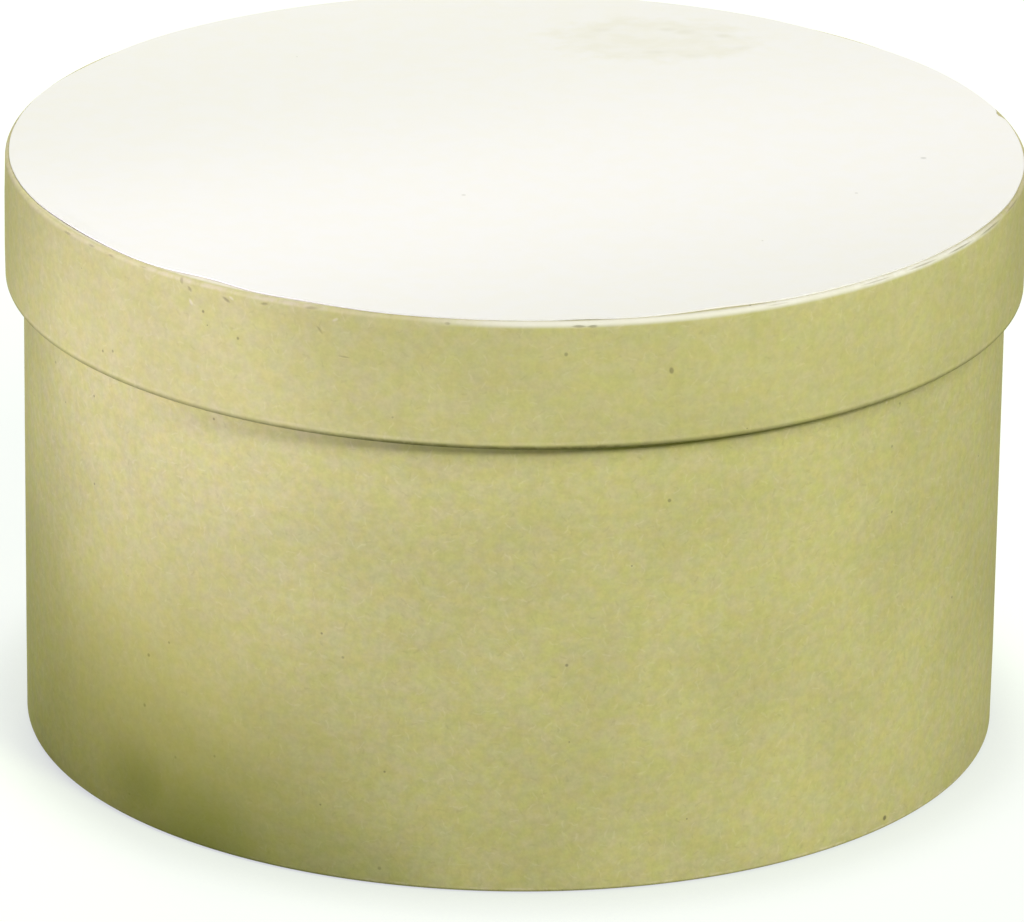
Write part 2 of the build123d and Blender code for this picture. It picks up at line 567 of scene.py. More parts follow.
@dataclass(frozen=True)
class RoundSheet:
    """A round sheet of paper glued over a board, cut by hand.

    Attributes:
        radius: radius that it was to be cut to.
        low: height of its lower face.
        paper: thickness.
        facing: which way its good face looks.
        cut: how far the cut falls short of the radius.
        relief: how far it stands off what it is glued to.
        faults: stretches where its edge was cut shorter or stands off.
        step_radius: radius of the edge of a turned cover under it, if one shows through.
        STEPS: steps of the mesh round the sheet.
        INNER_RINGS: rings of the mesh from the middle to the margin.
        EDGE_RINGS: rings of the mesh across the margin.
        EDGE_SHARE: share of the radius at which the margin begins.
        LIFT_WIDTH: how wide an edge that stands off comes up.
        STEP_WIDTH: how wide the sheet rises over the turned cover's edge.
        STEP_HEIGHT: how far it rises there.
    """

    radius: float
    low: float
    paper: float
    facing: Facing
    cut: Ripple
    relief: Ripple
    faults: tuple[EdgeFault, ...] = ()
    step_radius: float | None = None

    STEPS: ClassVar[int] = 480
    INNER_RINGS: ClassVar[int] = 26
    EDGE_RINGS: ClassVar[int] = 10
    EDGE_SHARE: ClassVar[float] = 0.93
    LIFT_WIDTH: ClassVar[float] = 3.5 * MILLIMETRE
    STEP_WIDTH: ClassVar[float] = 1.5 * MILLIMETRE
    STEP_HEIGHT: ClassVar[float] = 0.03 * MILLIMETRE

    def shell(self) -> Shell:
        """Lays the sheet.

        Returns:
            Its closed shell.
        """
        turn = np.linspace(0.0, FULL_TURN, self.STEPS, endpoint=False)[:, None]
        inner = np.linspace(0.0, self.EDGE_SHARE, self.INNER_RINGS + 1)[1:]
        edge = np.linspace(self.EDGE_SHARE, 1.0, self.EDGE_RINGS + 1)[1:]
        share = np.concatenate([inner, edge])[None, :]
        short = sum(fault.short * fault.share(turn) for fault in self.faults)
        lift = sum(fault.lift * fault.share(turn) for fault in self.faults)
        reach = self.radius - self.cut.at(turn, 0.0) - short
        radius = reach * share
        stand = self.relief.at(turn, radius) * share**2
        stand = stand + lift * smooth((radius - reach) / self.LIFT_WIDTH + 1.0)
        if self.step_radius:
            stand = stand + self.STEP_HEIGHT * smooth((radius - self.step_radius) / self.STEP_WIDTH)
        middle = self.low + self.paper / 2 + self.facing.value * stand
        across = np.stack([radius * np.cos(turn), radius * np.sin(turn)], axis=-1)
        half = self.facing.value * self.paper / 2
        front = np.concatenate([across, (middle + half)[..., None]], axis=-1)
        back = np.concatenate([across, (middle - half)[..., None]], axis=-1)
        return Shell(front, back, across, round_disc=True)


@dataclass(frozen=True)
class Mark:
    """One mark on a sheet of paper.

    Attributes:
        across: its place on the flat paper.
        size: its radius.
        kind: what it is.
        strength: how much of it shows, from 0 to 1.
        stretch: how many times as long as wide it is.
        lean: turn of its length from the way round the box, in degrees.
    """

    across: tuple[float, float]
    size: float
    kind: MarkKind = MarkKind.SPECK
    strength: float = 1.0
    stretch: float = 1.0
    lean: float = 0.0


@dataclass(frozen=True)
class Fade:
    """How a painted highlight or painted shade along a fold grows faint away from one place round
    the box.

    Attributes:
        place: that place, along the line.
        near: how far from it the line is still at full strength.
        far: how far from it the line has become faint.
        share: share of its strength that is left there.
    """

    place: float
    near: float
    far: float
    share: float


@dataclass(frozen=True)
class WearAndPaintedLight:
    """A line of its own colour along a fold, for rubbed paper and for painted highlight and painted
    shade.

    Attributes:
        run: where the line lies, along the paper.
        half_width: half its width.
        strength: how much of it shows, from 0 to 1.
        colour: colour of the paper there.
        least: the least of it that shows anywhere, as a share of its strength.
        fade: how it grows faint along its length, if it does.
        CORE: share of half its width that has full strength.
        FINE: noise that breaks the line into flecks.
        FINE_SPAN: values of that noise between which a fleck begins and is whole.
        FINE_LEAST: what is left of the line between flecks.
        LONG: noise that breaks the line into stretches.
        LONG_SPAN: values of that noise between which a stretch begins and is whole.
        LONG_LEAST: what is left of the line between stretches.
    """

    run: float
    half_width: float
    strength: float
    colour: Colour = (0.8, 0.7, 0.5)
    least: float = 0.0
    fade: Fade | None = None

    CORE: ClassVar[float] = 0.2
    FINE: ClassVar[Noise] = Noise(2.4, detail=4.0, rough=0.65)
    FINE_SPAN: ClassVar[Span] = (0.38, 0.62)
    FINE_LEAST: ClassVar[float] = 0.1
    LONG: ClassVar[Noise] = Noise(27.0, detail=2.0)
    LONG_SPAN: ClassVar[Span] = (0.42, 0.6)
    LONG_LEAST: ClassVar[float] = 0.25


class Nodes:
    """A node tree that is being filled."""

    def __init__(self, tree: bpy.types.NodeTree) -> None:
        """Empties the tree.

        Args:
            tree: the tree.
        """
        self.tree = tree
        self.tree.nodes.clear()

    def add(self, kind: str, inputs: dict[str | int, object], **settings: object) -> bpy.types.Node:
        """Adds a node.

        Args:
            kind: Blender's name for the node.
            inputs: a value or a socket for each input, by name or number.
            **settings: the node's own settings.

        Returns:
            The node.
        """
        node = self.tree.nodes.new(kind)
        for key, value in settings.items():
            setattr(node, key, value)
        for key, value in inputs.items():
            self.feed(node.inputs[key], value)
        return node

    def feed(self, socket: Socket, value: object) -> None:
        """Links a socket to an input, or sets the input's value.

        Args:
            socket: the input.
            value: the socket or the value that it gets.
        """
        if isinstance(value, Socket):
            self.tree.links.new(value, socket)
        else:
            socket.default_value = value

    def sum(self, operation: str, a: object, b: object = 0.0, c: object = 0.0) -> Socket:
        """Result of a sum of one to three numbers, by Blender's name for it."""
        return self.add("ShaderNodeMath", {0: a, 1: b, 2: c}, operation=operation).outputs[0]

    def seen(self) -> Socket:
        """Tells the rays that end in the eye from the others.

        Returns:
            1 for a ray that ends there directly, in a gloss or through glass, and 0 for others.
        """
        path = self.add("ShaderNodeLightPath", {})
        seen = self.sum("MAXIMUM", path.outputs["Is Camera Ray"], path.outputs["Is Glossy Ray"])
        return self.sum("MAXIMUM", seen, path.outputs["Is Transmission Ray"])


class Graph(Nodes):
    """Node graph of one finish, with a method for each kind of node that the finishes use.

    Attributes:
        SPECULAR: how strongly paper and board mirror.
    """

    SPECULAR: ClassVar[float] = 0.15

    def __init__(self, name: str) -> None:
        """Starts the graph with a shader and its output.

        Args:
            name: name of the material.
        """
        self.material = bpy.data.materials.new(name)
        self.material.use_nodes = True
        super().__init__(self.material.node_tree)
        self.shader = self.add("ShaderNodeBsdfPrincipled", {})
        self.add("ShaderNodeOutputMaterial", {"Surface": self.shader.outputs[0]})

    def vector(self, operation: str, a: object, b: object = (0.0, 0.0, 0.0)) -> bpy.types.Node:
        """Node that works on one or two vectors, by Blender's name for what it does."""
        return self.add("ShaderNodeVectorMath", {0: a, 1: b}, operation=operation)

    def scaled(self, vector: Socket, scale: float) -> Socket:
        """A vector times a number."""
        node = self.add("ShaderNodeVectorMath", {0: vector, "Scale": scale}, operation="SCALE")
        return node.outputs[0]

    def eased(
        self, value: Socket, low: object, high: object, to_low: float = 0.0, to_high: float = 1.0
    ) -> Socket:
        """A value eased from one range to another, and held at its ends."""
        inputs = {0: value, 1: low, 2: high, 3: to_low, 4: to_high}
        return self.add("ShaderNodeMapRange", inputs, interpolation_type="SMOOTHSTEP").outputs[0]

    def blend(self, factor: object, a: object, b: object, kind: str = "MIX") -> Socket:
        """Two colours mixed.

        Args:
            factor: share of the second colour.
            a: first colour.
            b: second colour.
            kind: Blender's name for the kind of mix.

        Returns:
            The mixed colour.
        """
        a, b = (mixed if isinstance(mixed, Socket) else (*mixed, 1.0) for mixed in (a, b))
        node = self.add("ShaderNodeMix", {0: factor, 6: a, 7: b}, data_type="RGBA", blend_type=kind)
        return node.outputs[2]

    def noise(self, where: Socket, noise: Noise) -> Socket:
        """A noise at places in millimetres.

        Args:
            where: the places.
            noise: the noise.

        Returns:
            Its value.
        """
        inputs = {
            "Vector": where,
            "Scale": 1.0 / noise.size,
            "Detail": noise.detail,
            "Roughness": noise.rough,
        }
        return self.add("ShaderNodeTexNoise", inputs, noise_dimensions="3D").outputs[0]

    def cells(self, where: Socket, size: float) -> tuple[Socket, Socket, bpy.types.Node]:
        """Scattered cells.

        Args:
            where: places, in millimetres.
            size: size of a cell, in millimetres.

        Returns:
            The way from the cell's middle in millimetres, the distance from it, and a node with
            three random numbers for each cell.
        """
        node = self.add(
            "ShaderNodeTexVoronoi", {"Vector": where, "Scale": 1.0 / size}, voronoi_dimensions="2D"
        )
        way = self.vector("SUBTRACT", where, node.outputs["Position"]).outputs[0]
        distance = self.vector("LENGTH", way).outputs["Value"]
        return way, distance, self.add("ShaderNodeSeparateColor", {0: node.outputs["Color"]})

    def fibres(self, where: Socket, fibres: Fibres) -> Socket:
        """Fibres scattered over places in millimetres.

        Args:
            where: the places.
            fibres: the fibres.

        Returns:
            1 on a fibre and 0 off it.
        """
        length, width = fibres.length, fibres.width
        inputs = {"Vector": where, "Scale": fibres.CURL_RATE / length, "Detail": 1.0}
        curl = self.add("ShaderNodeTexNoise", inputs)
        centred = self.vector("SUBTRACT", curl.outputs["Color"], (0.5, 0.5, 0.5)).outputs[0]
        bent = self.vector("ADD", where, self.scaled(centred, fibres.CURL * length)).outputs[0]
        flat = self.vector("MULTIPLY", bent, (1.0, 1.0, 0.0)).outputs[0]
        way, _, chance = self.cells(flat, fibres.cell)
        inputs = {"Vector": way, "Angle": self.sum("MULTIPLY", chance.outputs[0], FULL_TURN)}
        turned = self.add("ShaderNodeVectorRotate", inputs, rotation_type="Z_AXIS").outputs[0]
        along, aside, _ = self.add("ShaderNodeSeparateXYZ", {0: turned}).outputs
        on_length = self.eased(self.sum("ABSOLUTE", along), length, fibres.FULL_LENGTH * length)
        on_width = self.eased(self.sum("ABSOLUTE", aside), width, fibres.FULL_WIDTH * width)
        there = self.sum("LESS_THAN", chance.outputs[1], fibres.share)
        return self.sum("MULTIPLY", self.sum("MULTIPLY", on_length, on_width), there)

    def specks(self, where: Socket, specks: Specks) -> Socket:
        """Specks scattered over places in millimetres.

        Args:
            where: the places.
            specks: the specks.

        Returns:
            1 on a speck and 0 off it.
        """
        _, distance, chance = self.cells(where, specks.cell)
        smallest = specks.SMALLEST * specks.size
        radius = self.sum("MULTIPLY_ADD", chance.outputs[2], specks.size - smallest, smallest)
        inside = self.eased(self.sum("DIVIDE", distance, radius), 1.0, specks.CORE)
        return self.sum("MULTIPLY", inside, self.sum("LESS_THAN", chance.outputs[0], specks.share))

    def spot(self, where: Socket, mark: Mark) -> Socket:
        """One mark at its place.

        Args:
            where: places, in millimetres.
            mark: the mark.

        Returns:
            Its strength on it and 0 off it.
        """
        middle = (mark.across[0] / MILLIMETRE, mark.across[1] / MILLIMETRE, 0.0)
        way = self.vector("SUBTRACT", where, middle).outputs[0]
        if mark.stretch > 1.0:
            inputs = {"Vector": way, "Angle": -math.radians(mark.lean)}
            way = self.add("ShaderNodeVectorRotate", inputs, rotation_type="Z_AXIS").outputs[0]
            way = self.vector("MULTIPLY", way, (1.0 / mark.stretch, 1.0, 1.0)).outputs[0]
        distance = self.vector("LENGTH", way).outputs["Value"]
        size = mark.size / MILLIMETRE
        return self.eased(distance, size, mark.kind.value.core * size, 0.0, mark.strength)

    def marked(
        self, where: Socket, colour: Socket, height: Socket, marks: tuple[Mark, ...]
    ) -> tuple[Socket, Socket]:
        """Puts marks on a sheet of paper.

        Args:
            where: places, in millimetres.
            colour: colour of the paper.
            height: height of the paper's grain.
            marks: the marks.

        Returns:
            The colour and the height with the marks.
        """
        for kind in MarkKind:
            mask = None
            for mark in (mark for mark in marks if mark.kind is kind):
                spot = self.spot(where, mark)
                mask = spot if mask is None else self.sum("MAXIMUM", mask, spot)
            if mask is None:
                continue
            ink: Ink = kind.value
            colour = self.blend(self.sum("MULTIPLY", mask, ink.share), colour, ink.colour)
            height = self.sum("MULTIPLY_ADD", mask, ink.height, height)
        return colour, height

    def worn_and_painted(self, where: Socket, colour: Socket, wear_and_light: WearAndPaintedLight) -> Socket:
        """Colours paper along a fold with a line of wear, painted highlight or painted shade.

        Args:
            where: places, in millimetres.
            colour: colour of the paper.
            wear_and_light: the line.

        Returns:
            The colour with the wear.
        """
        along, run, _ = self.add("ShaderNodeSeparateXYZ", {0: where}).outputs
        off = self.sum("ABSOLUTE", self.sum("SUBTRACT", run, wear_and_light.run / MILLIMETRE))
        half = wear_and_light.half_width / MILLIMETRE
        line = self.eased(off, half, wear_and_light.CORE * half, 0.0, wear_and_light.strength)
        if wear_and_light.fade:
            away = self.sum("ABSOLUTE", self.sum("SUBTRACT", along, wear_and_light.fade.place / MILLIMETRE))
            near, far = wear_and_light.fade.near / MILLIMETRE, wear_and_light.fade.far / MILLIMETRE
            line = self.sum("MULTIPLY", line, self.eased(away, near, far, 1.0, wear_and_light.fade.share))
        flecks = self.eased(self.noise(where, wear_and_light.FINE), *wear_and_light.FINE_SPAN, wear_and_light.FINE_LEAST)
        stretches = self.eased(self.noise(where, wear_and_light.LONG), *wear_and_light.LONG_SPAN, wear_and_light.LONG_LEAST)
        broken = self.eased(self.sum("MULTIPLY", flecks, stretches), 0.0, 1.0, wear_and_light.least)
        return self.blend(self.sum("MULTIPLY", line, broken), colour, wear_and_light.colour)

    def flat_paper(self) -> Socket:
        """Places on the flat paper, in millimetres."""
        flat = self.add("ShaderNodeUVMap", {}, uv_map=Shell.FLAT_LAYER).outputs[0]
        return self.scaled(flat, 1.0 / MILLIMETRE)

    def solid(self) -> Socket:
        """Places in a piece, in millimetres."""
        return self.scaled(self.add("ShaderNodeTexCoord", {}).outputs["Object"], 1.0 / MILLIMETRE)

    def finish(self, colour: Socket, roughness: Socket, height: Socket, depth: float) -> None:
        """Feeds the shader.

        Args:
            colour: colour of the surface.
            roughness: roughness of the surface.
            height: height of its grain, about 0 to 1.
            depth: depth that a height of 1 stands for.
        """
        bump = self.add("ShaderNodeBump", {"Height": height, "Distance": depth})
        self.feed(self.shader.inputs["Base Color"], colour)
        self.feed(self.shader.inputs["Roughness"], roughness)
        self.feed(self.shader.inputs["Normal"], bump.outputs[0])
        self.shader.inputs["Specular IOR Level"].default_value = self.SPECULAR


@dataclass(frozen=True)
class KraftPaper:
    """Recycled kraft paper: soft blotches of colour, curled fibres and dark specks.

    Attributes:
        name: name of the finish.
        colour: its mean colour.
        yellow: tint of the warmer blotches, as a factor.
        lilac: tint of the cooler blotches, as a factor.
        green: tint of the greener blotches, as a factor.
        pink: tint of the redder blotches, as a factor.
        pale: colour of pale fibres.
        dark: colour of dark fibres.
        specks: its dark specks.
        mottle: strength of its blotches, clouds and fibres.
        marks: marks at places of their own.
        wear_and_light_lines: lines along its folds, of rubbed paper, painted highlight and painted
            shade.
        ELSEWHERE: shift that keeps two patterns from falling together, in millimetres.
        BLOTCH: noise of the warmer and cooler blotches.
        BLOTCH_SPAN: values of that noise between which the tint turns.
        PATCH: noise of the greener and redder blotches.
        PATCH_SPAN: values of that noise between which the tint turns.
        CLOUD: noise of its wide changes of lightness.
        FLOCK: noise of its small changes of lightness.
        GRAIN: noise of its grain.
        LIGHT_SPAN: values of these three noises between which the lightness turns.
        CLOUD_DEPTH: how far the clouds change its lightness.
        FLOCK_DEPTH: how far the flock changes it.
        GRAIN_DEPTH: how far the grain changes it.
        PALE_FIBRES: its pale fibres.
        PALE_STRENGTH: share of their colour.
        PALE_HEIGHT: how far they stand out, in steps of the grain.
        DARK_FIBRES: its dark fibres.
        DARK_STRENGTH: share of their colour.
        SPECK_STRENGTH: share of the specks' colour.
        FLOCK_HEIGHT: how far the flock stands out, in steps of the grain.
        ROUGHNESS: roughness in the grain's hollows and on its tops.
        BUMP: depth of one step of the grain.
    """

    name: str
    colour: Colour
    yellow: Colour = (1.0, 1.005, 0.88)
    lilac: Colour = (1.0, 0.995, 1.12)
    green: Colour = (0.979, 1.01, 0.975)
    pink: Colour = (1.021, 0.99, 1.025)
    pale: Colour = (0.82, 0.76, 0.52)
    dark: Colour = (0.28, 0.24, 0.1)
    specks: Specks = Specks(cell=12.0, size=0.42, share=0.12)
    mottle: float = 1.0
    marks: tuple[Mark, ...] = ()
    wear_and_light_lines: tuple[WearAndPaintedLight, ...] = ()

    ELSEWHERE: ClassVar[tuple[float, float, float]] = (83.0, 59.0, 0.0)
    BLOTCH: ClassVar[Noise] = Noise(4.2, detail=4.0, rough=0.6)
    BLOTCH_SPAN: ClassVar[Span] = (0.34, 0.66)
    PATCH: ClassVar[Noise] = Noise(4.4, detail=4.0, rough=0.66)
    PATCH_SPAN: ClassVar[Span] = (0.36, 0.64)
    CLOUD: ClassVar[Noise] = Noise(26.0, detail=3.0)
    FLOCK: ClassVar[Noise] = Noise(1.9, detail=3.0, rough=0.55)
    GRAIN: ClassVar[Noise] = Noise(0.7, detail=2.0)
    LIGHT_SPAN: ClassVar[Span] = (0.3, 0.7)
    CLOUD_DEPTH: ClassVar[float] = 0.05
    FLOCK_DEPTH: ClassVar[float] = 0.05
    GRAIN_DEPTH: ClassVar[float] = 0.022
    PALE_FIBRES: ClassVar[Fibres] = Fibres(cell=2.9, length=1.1, width=0.24, share=0.4)
    PALE_STRENGTH: ClassVar[float] = 0.12
    PALE_HEIGHT: ClassVar[float] = 0.2
    DARK_FIBRES: ClassVar[Fibres] = Fibres(cell=3.6, length=0.8, width=0.22, share=0.4)
    DARK_STRENGTH: ClassVar[float] = 0.15
    SPECK_STRENGTH: ClassVar[float] = 0.55
    FLOCK_HEIGHT: ClassVar[float] = 0.9
    ROUGHNESS: ClassVar[Span] = (0.9, 0.78)
    BUMP: ClassVar[float] = 0.028 * MILLIMETRE

    def material(self) -> bpy.types.Material:
        """Makes the finish.

        Returns:
            The material.
        """
        graph = Graph(self.name)
        where = graph.flat_paper()
        elsewhere = graph.vector("ADD", where, self.ELSEWHERE).outputs[0]
        cloud = graph.noise(where, self.CLOUD)
        flock = graph.noise(elsewhere, self.FLOCK)
        grain = graph.noise(where, self.GRAIN)
        light = graph.sum(
            "MULTIPLY",
            self._level(graph, cloud, self.CLOUD_DEPTH),
            self._level(graph, flock, self.FLOCK_DEPTH),
        )
        light = graph.sum("MULTIPLY", light, self._level(graph, grain, self.GRAIN_DEPTH))
        level = graph.add("ShaderNodeCombineColor", {0: light, 1: light, 2: light}).outputs[0]
        colour = graph.blend(1.0, self._tinted(graph, where, elsewhere), level, "MULTIPLY")
        pale = graph.fibres(where, self.PALE_FIBRES)
        dark = graph.fibres(elsewhere, self.DARK_FIBRES)
        pale_share = graph.sum("MULTIPLY", pale, self.PALE_STRENGTH * self.mottle)
        dark_share = graph.sum("MULTIPLY", dark, self.DARK_STRENGTH * self.mottle)
        colour = graph.blend(pale_share, colour, self.pale)
        colour = graph.blend(dark_share, colour, self.dark)
        for wear_and_light in self.wear_and_light_lines:
            colour = graph.worn_and_painted(where, colour, wear_and_light)
        speck = graph.sum("MULTIPLY", graph.specks(where, self.specks), self.SPECK_STRENGTH)
        colour = graph.blend(speck, colour, MarkKind.SPECK.value.colour)
        height = graph.sum("MULTIPLY_ADD", flock, self.FLOCK_HEIGHT, grain)
        height = graph.sum("MULTIPLY_ADD", pale, self.PALE_HEIGHT, height)
        colour, height = graph.marked(where, colour, height, self.marks)
        roughness = graph.eased(grain, *ROUGHNESS_SPAN, *self.ROUGHNESS)
        graph.finish(colour, roughness, height, self.BUMP)
        return graph.material

    def _tinted(self, graph: Graph, where: Socket, elsewhere: Socket) -> Socket:
        """The mean colour with the tints of the blotches.

        Args:
            graph: the finish's graph.
            where: places, in millimetres.
            elsewhere: the same places, shifted.

        Returns:
            The colour.
        """
        blotch = graph.eased(graph.noise(where, self.BLOTCH), *self.BLOTCH_SPAN)
        patch = graph.eased(graph.noise(elsewhere, self.PATCH), *self.PATCH_SPAN)
        warm = graph.blend(blotch, self.lilac, self.yellow)
        red = graph.blend(patch, self.green, self.pink)
        tint = graph.blend(self.mottle, (1.0, 1.0, 1.0), graph.blend(1.0, warm, red, "MULTIPLY"))
        return graph.blend(1.0, self.colour, tint, "MULTIPLY")

    def _level(self, graph: Graph, noise: Socket, depth: float) -> Socket:
        """Lightness that a noise gives, up to a depth above and below 1 when the mottle is 1."""
        depth = depth * self.mottle
        return graph.eased(noise, *self.LIGHT_SPAN, 1.0 - depth, 1.0 + depth)


@dataclass(frozen=True)
class PaleSheet:
    """Pale cream paper with faint blotches, a few specks and an old glue stain.

    Attributes:
        name: name of the finish.
        colour: its mean colour.
        stain_place: middle of the stain on the sheet.
        stain_size: half the stain's width and depth.
        marks: marks at places of their own.
        BLOTCH: noise of its faint blotches, which also breaks the edge of the stain.
        BLOTCH_SPAN: values of that noise between which the tint turns.
        CREAM: tint of the warmer blotches, as a factor.
        COOL: tint of the cooler blotches, as a factor.
        GRAIN: noise of its grain.
        FIBRES: its fibres.
        FIBRE_COLOUR: their colour.
        FIBRE_STRENGTH: share of that colour.
        FIBRE_HEIGHT: how far they stand out, in steps of the grain.
        DAPPLE: noise that makes the stain uneven.
        DAPPLE_SPAN: values of that noise between which the stain turns.
        DAPPLE_LEAST: share of the stain where it is faintest.
        STAIN_COLOUR: colour of the stain.
        STAIN_STRENGTH: share of that colour.
        STAIN_HEIGHT: how far the stain stands out, in steps of the grain.
        STAIN_EDGE: where the stain begins and is whole, in halves of its size, blotches added.
        SPECKS: its specks.
        SPECK_STRENGTH: share of their colour.
        ROUGHNESS: roughness in the grain's hollows and on its tops.
        BUMP: depth of one step of the grain.
    """

    name: str
    colour: Colour
    stain_place: tuple[float, float]
    stain_size: tuple[float, float]
    marks: tuple[Mark, ...] = ()

    BLOTCH: ClassVar[Noise] = Noise(6.0, detail=4.0, rough=0.6)
    BLOTCH_SPAN: ClassVar[Span] = (0.36, 0.64)
    CREAM: ClassVar[Colour] = (1.0, 0.998, 0.982)
    COOL: ClassVar[Colour] = (1.0, 1.002, 1.016)
    GRAIN: ClassVar[Noise] = Noise(0.7, detail=3.0, rough=0.6)
    FIBRES: ClassVar[Fibres] = Fibres(cell=3.0, length=1.2, width=0.16, share=0.5)
    FIBRE_COLOUR: ClassVar[Colour] = (0.78, 0.74, 0.6)
    FIBRE_STRENGTH: ClassVar[float] = 0.05
    FIBRE_HEIGHT: ClassVar[float] = 0.3
    DAPPLE: ClassVar[Noise] = Noise(6.5, detail=3.0)
    DAPPLE_SPAN: ClassVar[Span] = (0.32, 0.68)
    DAPPLE_LEAST: ClassVar[float] = 0.35
    STAIN_COLOUR: ClassVar[Colour] = (0.76, 0.74, 0.6)
    STAIN_STRENGTH: ClassVar[float] = 0.5
    STAIN_HEIGHT: ClassVar[float] = 0.6
    STAIN_EDGE: ClassVar[Span] = (1.65, 1.2)
    SPECKS: ClassVar[Specks] = Specks(cell=23.0, size=0.3, share=0.08)
    SPECK_STRENGTH: ClassVar[float] = 0.3
    ROUGHNESS: ClassVar[Span] = (0.8, 0.7)
    BUMP: ClassVar[float] = 0.02 * MILLIMETRE

    def material(self) -> bpy.types.Material:
        """Makes the finish.

        Returns:
            The material.
        """
        graph = Graph(self.name)
        where = graph.flat_paper()
        blotch = graph.noise(where, self.BLOTCH)
        grain = graph.noise(where, self.GRAIN)
        tint = graph.blend(graph.eased(blotch, *self.BLOTCH_SPAN), self.CREAM, self.COOL)
        colour = graph.blend(1.0, self.colour, tint, "MULTIPLY")
        fibre = graph.fibres(where, self.FIBRES)
        fibre_share = graph.sum("MULTIPLY", fibre, self.FIBRE_STRENGTH)
        colour = graph.blend(fibre_share, colour, self.FIBRE_COLOUR)
        stain = self._stain(graph, where, blotch)
        dapple = graph.noise(where, self.DAPPLE)
        dapple = graph.eased(dapple, *self.DAPPLE_SPAN, self.DAPPLE_LEAST)
        stain_share = graph.sum("MULTIPLY", stain, dapple)
        stain_share = graph.sum("MULTIPLY", stain_share, self.STAIN_STRENGTH)
        colour = graph.blend(stain_share, colour, self.STAIN_COLOUR)
        speck = graph.sum("MULTIPLY", graph.specks(where, self.SPECKS), self.SPECK_STRENGTH)
        colour = graph.blend(speck, colour, MarkKind.SPECK.value.colour)
        height = graph.sum("MULTIPLY_ADD", stain, self.STAIN_HEIGHT, grain)
        height = graph.sum("MULTIPLY_ADD", fibre, self.FIBRE_HEIGHT, height)
        colour, height = graph.marked(where, colour, height, self.marks)
        roughness = graph.eased(grain, *ROUGHNESS_SPAN, *self.ROUGHNESS)
        graph.finish(colour, roughness, height, self.BUMP)
        return graph.material

    def _stain(self, graph: Graph, where: Socket, blotch: Socket) -> Socket:
        """The glue stain, with a broken edge.

        Args:
            graph: the finish's graph.
            where: places, in millimetres.
            blotch: noise that breaks its edge.

        Returns:
            1 in the stain and 0 off it.
        """
        middle = tuple(place / MILLIMETRE for place in self.stain_place) + (0.0,)
        size = tuple(MILLIMETRE / half for half in self.stain_size) + (0.0,)
        away = graph.vector("MULTIPLY", graph.vector("SUBTRACT", where, middle).outputs[0], size)
        distance = graph.vector("LENGTH", away.outputs[0]).outputs["Value"]
        return graph.eased(graph.sum("ADD", blotch, distance), *self.STAIN_EDGE)


@dataclass(frozen=True)
class GreyBoard:
    """Solid board of pulped waste paper: layers at its edges, flecks of old print.

    Attributes:
        name: name of the finish.
        colour: its mean colour.
        PULP: noise of the pulp.
        PULP_SPAN: values of that noise between which the colour turns.
        LIGHTER: how many times as light the lighter pulp is.
        GRAIN: noise of its grain.
        GRAIN_SPAN: values of that noise between which the darker grain turns.
        GRAIN_COLOUR: colour of the darker grain.
        GRAIN_STRENGTH: share of that colour.
        LAYERS: noise of its layers.
        LAYER_STRETCH: what its places are multiplied by, so that the layers lie flat.
        LAYER_HEIGHT: how far the layers stand out, in steps of the grain.
        FLECKS: its flecks.
        FLECK_COLOUR: their colour.
        FLECK_STRENGTH: share of that colour.
        ROUGHNESS: roughness of the darker and of the lighter pulp.
        BUMP: depth of one step of the grain.
    """

    name: str
    colour: Colour

    PULP: ClassVar[Noise] = Noise(3.0, detail=5.0, rough=0.65)
    PULP_SPAN: ClassVar[Span] = (0.3, 0.7)
    LIGHTER: ClassVar[float] = 1.35
    GRAIN: ClassVar[Noise] = Noise(0.6, detail=3.0)
    GRAIN_SPAN: ClassVar[Span] = (0.35, 0.75)
    GRAIN_COLOUR: ClassVar[Colour] = (0.2, 0.18, 0.15)
    GRAIN_STRENGTH: ClassVar[float] = 0.35
    LAYERS: ClassVar[Noise] = Noise(1.5)
    LAYER_STRETCH: ClassVar[tuple[float, float, float]] = (0.4, 0.4, 6.0)
    LAYER_HEIGHT: ClassVar[float] = 0.7
    FLECKS: ClassVar[Specks] = Specks(cell=4.0, size=0.5, share=0.35)
    FLECK_COLOUR: ClassVar[Colour] = (0.1, 0.1, 0.12)
    FLECK_STRENGTH: ClassVar[float] = 0.6
    ROUGHNESS: ClassVar[Span] = (0.95, 0.85)
    BUMP: ClassVar[float] = 0.06 * MILLIMETRE

    def material(self) -> bpy.types.Material:
        """Makes the finish.

        Returns:
            The material.
        """
        graph = Graph(self.name)
        where = graph.solid()
        pulp = graph.noise(where, self.PULP)
        grain = graph.noise(where, self.GRAIN)
        layered = graph.vector("MULTIPLY", where, self.LAYER_STRETCH).outputs[0]
        layers = graph.noise(layered, self.LAYERS)
        lighter = tuple(self.LIGHTER * channel for channel in self.colour)
        colour = graph.blend(graph.eased(pulp, *self.PULP_SPAN), self.colour, lighter)
        dark = graph.eased(grain, *self.GRAIN_SPAN, to_high=self.GRAIN_STRENGTH)
        colour = graph.blend(dark, colour, self.GRAIN_COLOUR)
        fleck = graph.sum("MULTIPLY", graph.specks(where, self.FLECKS), self.FLECK_STRENGTH)
        colour = graph.blend(fleck, colour, self.FLECK_COLOUR)
        height = graph.sum("MULTIPLY_ADD", layers, self.LAYER_HEIGHT, grain)
        roughness = graph.eased(pulp, *ROUGHNESS_SPAN, *self.ROUGHNESS)
        graph.finish(colour, roughness, height, self.BUMP)
        return graph.material


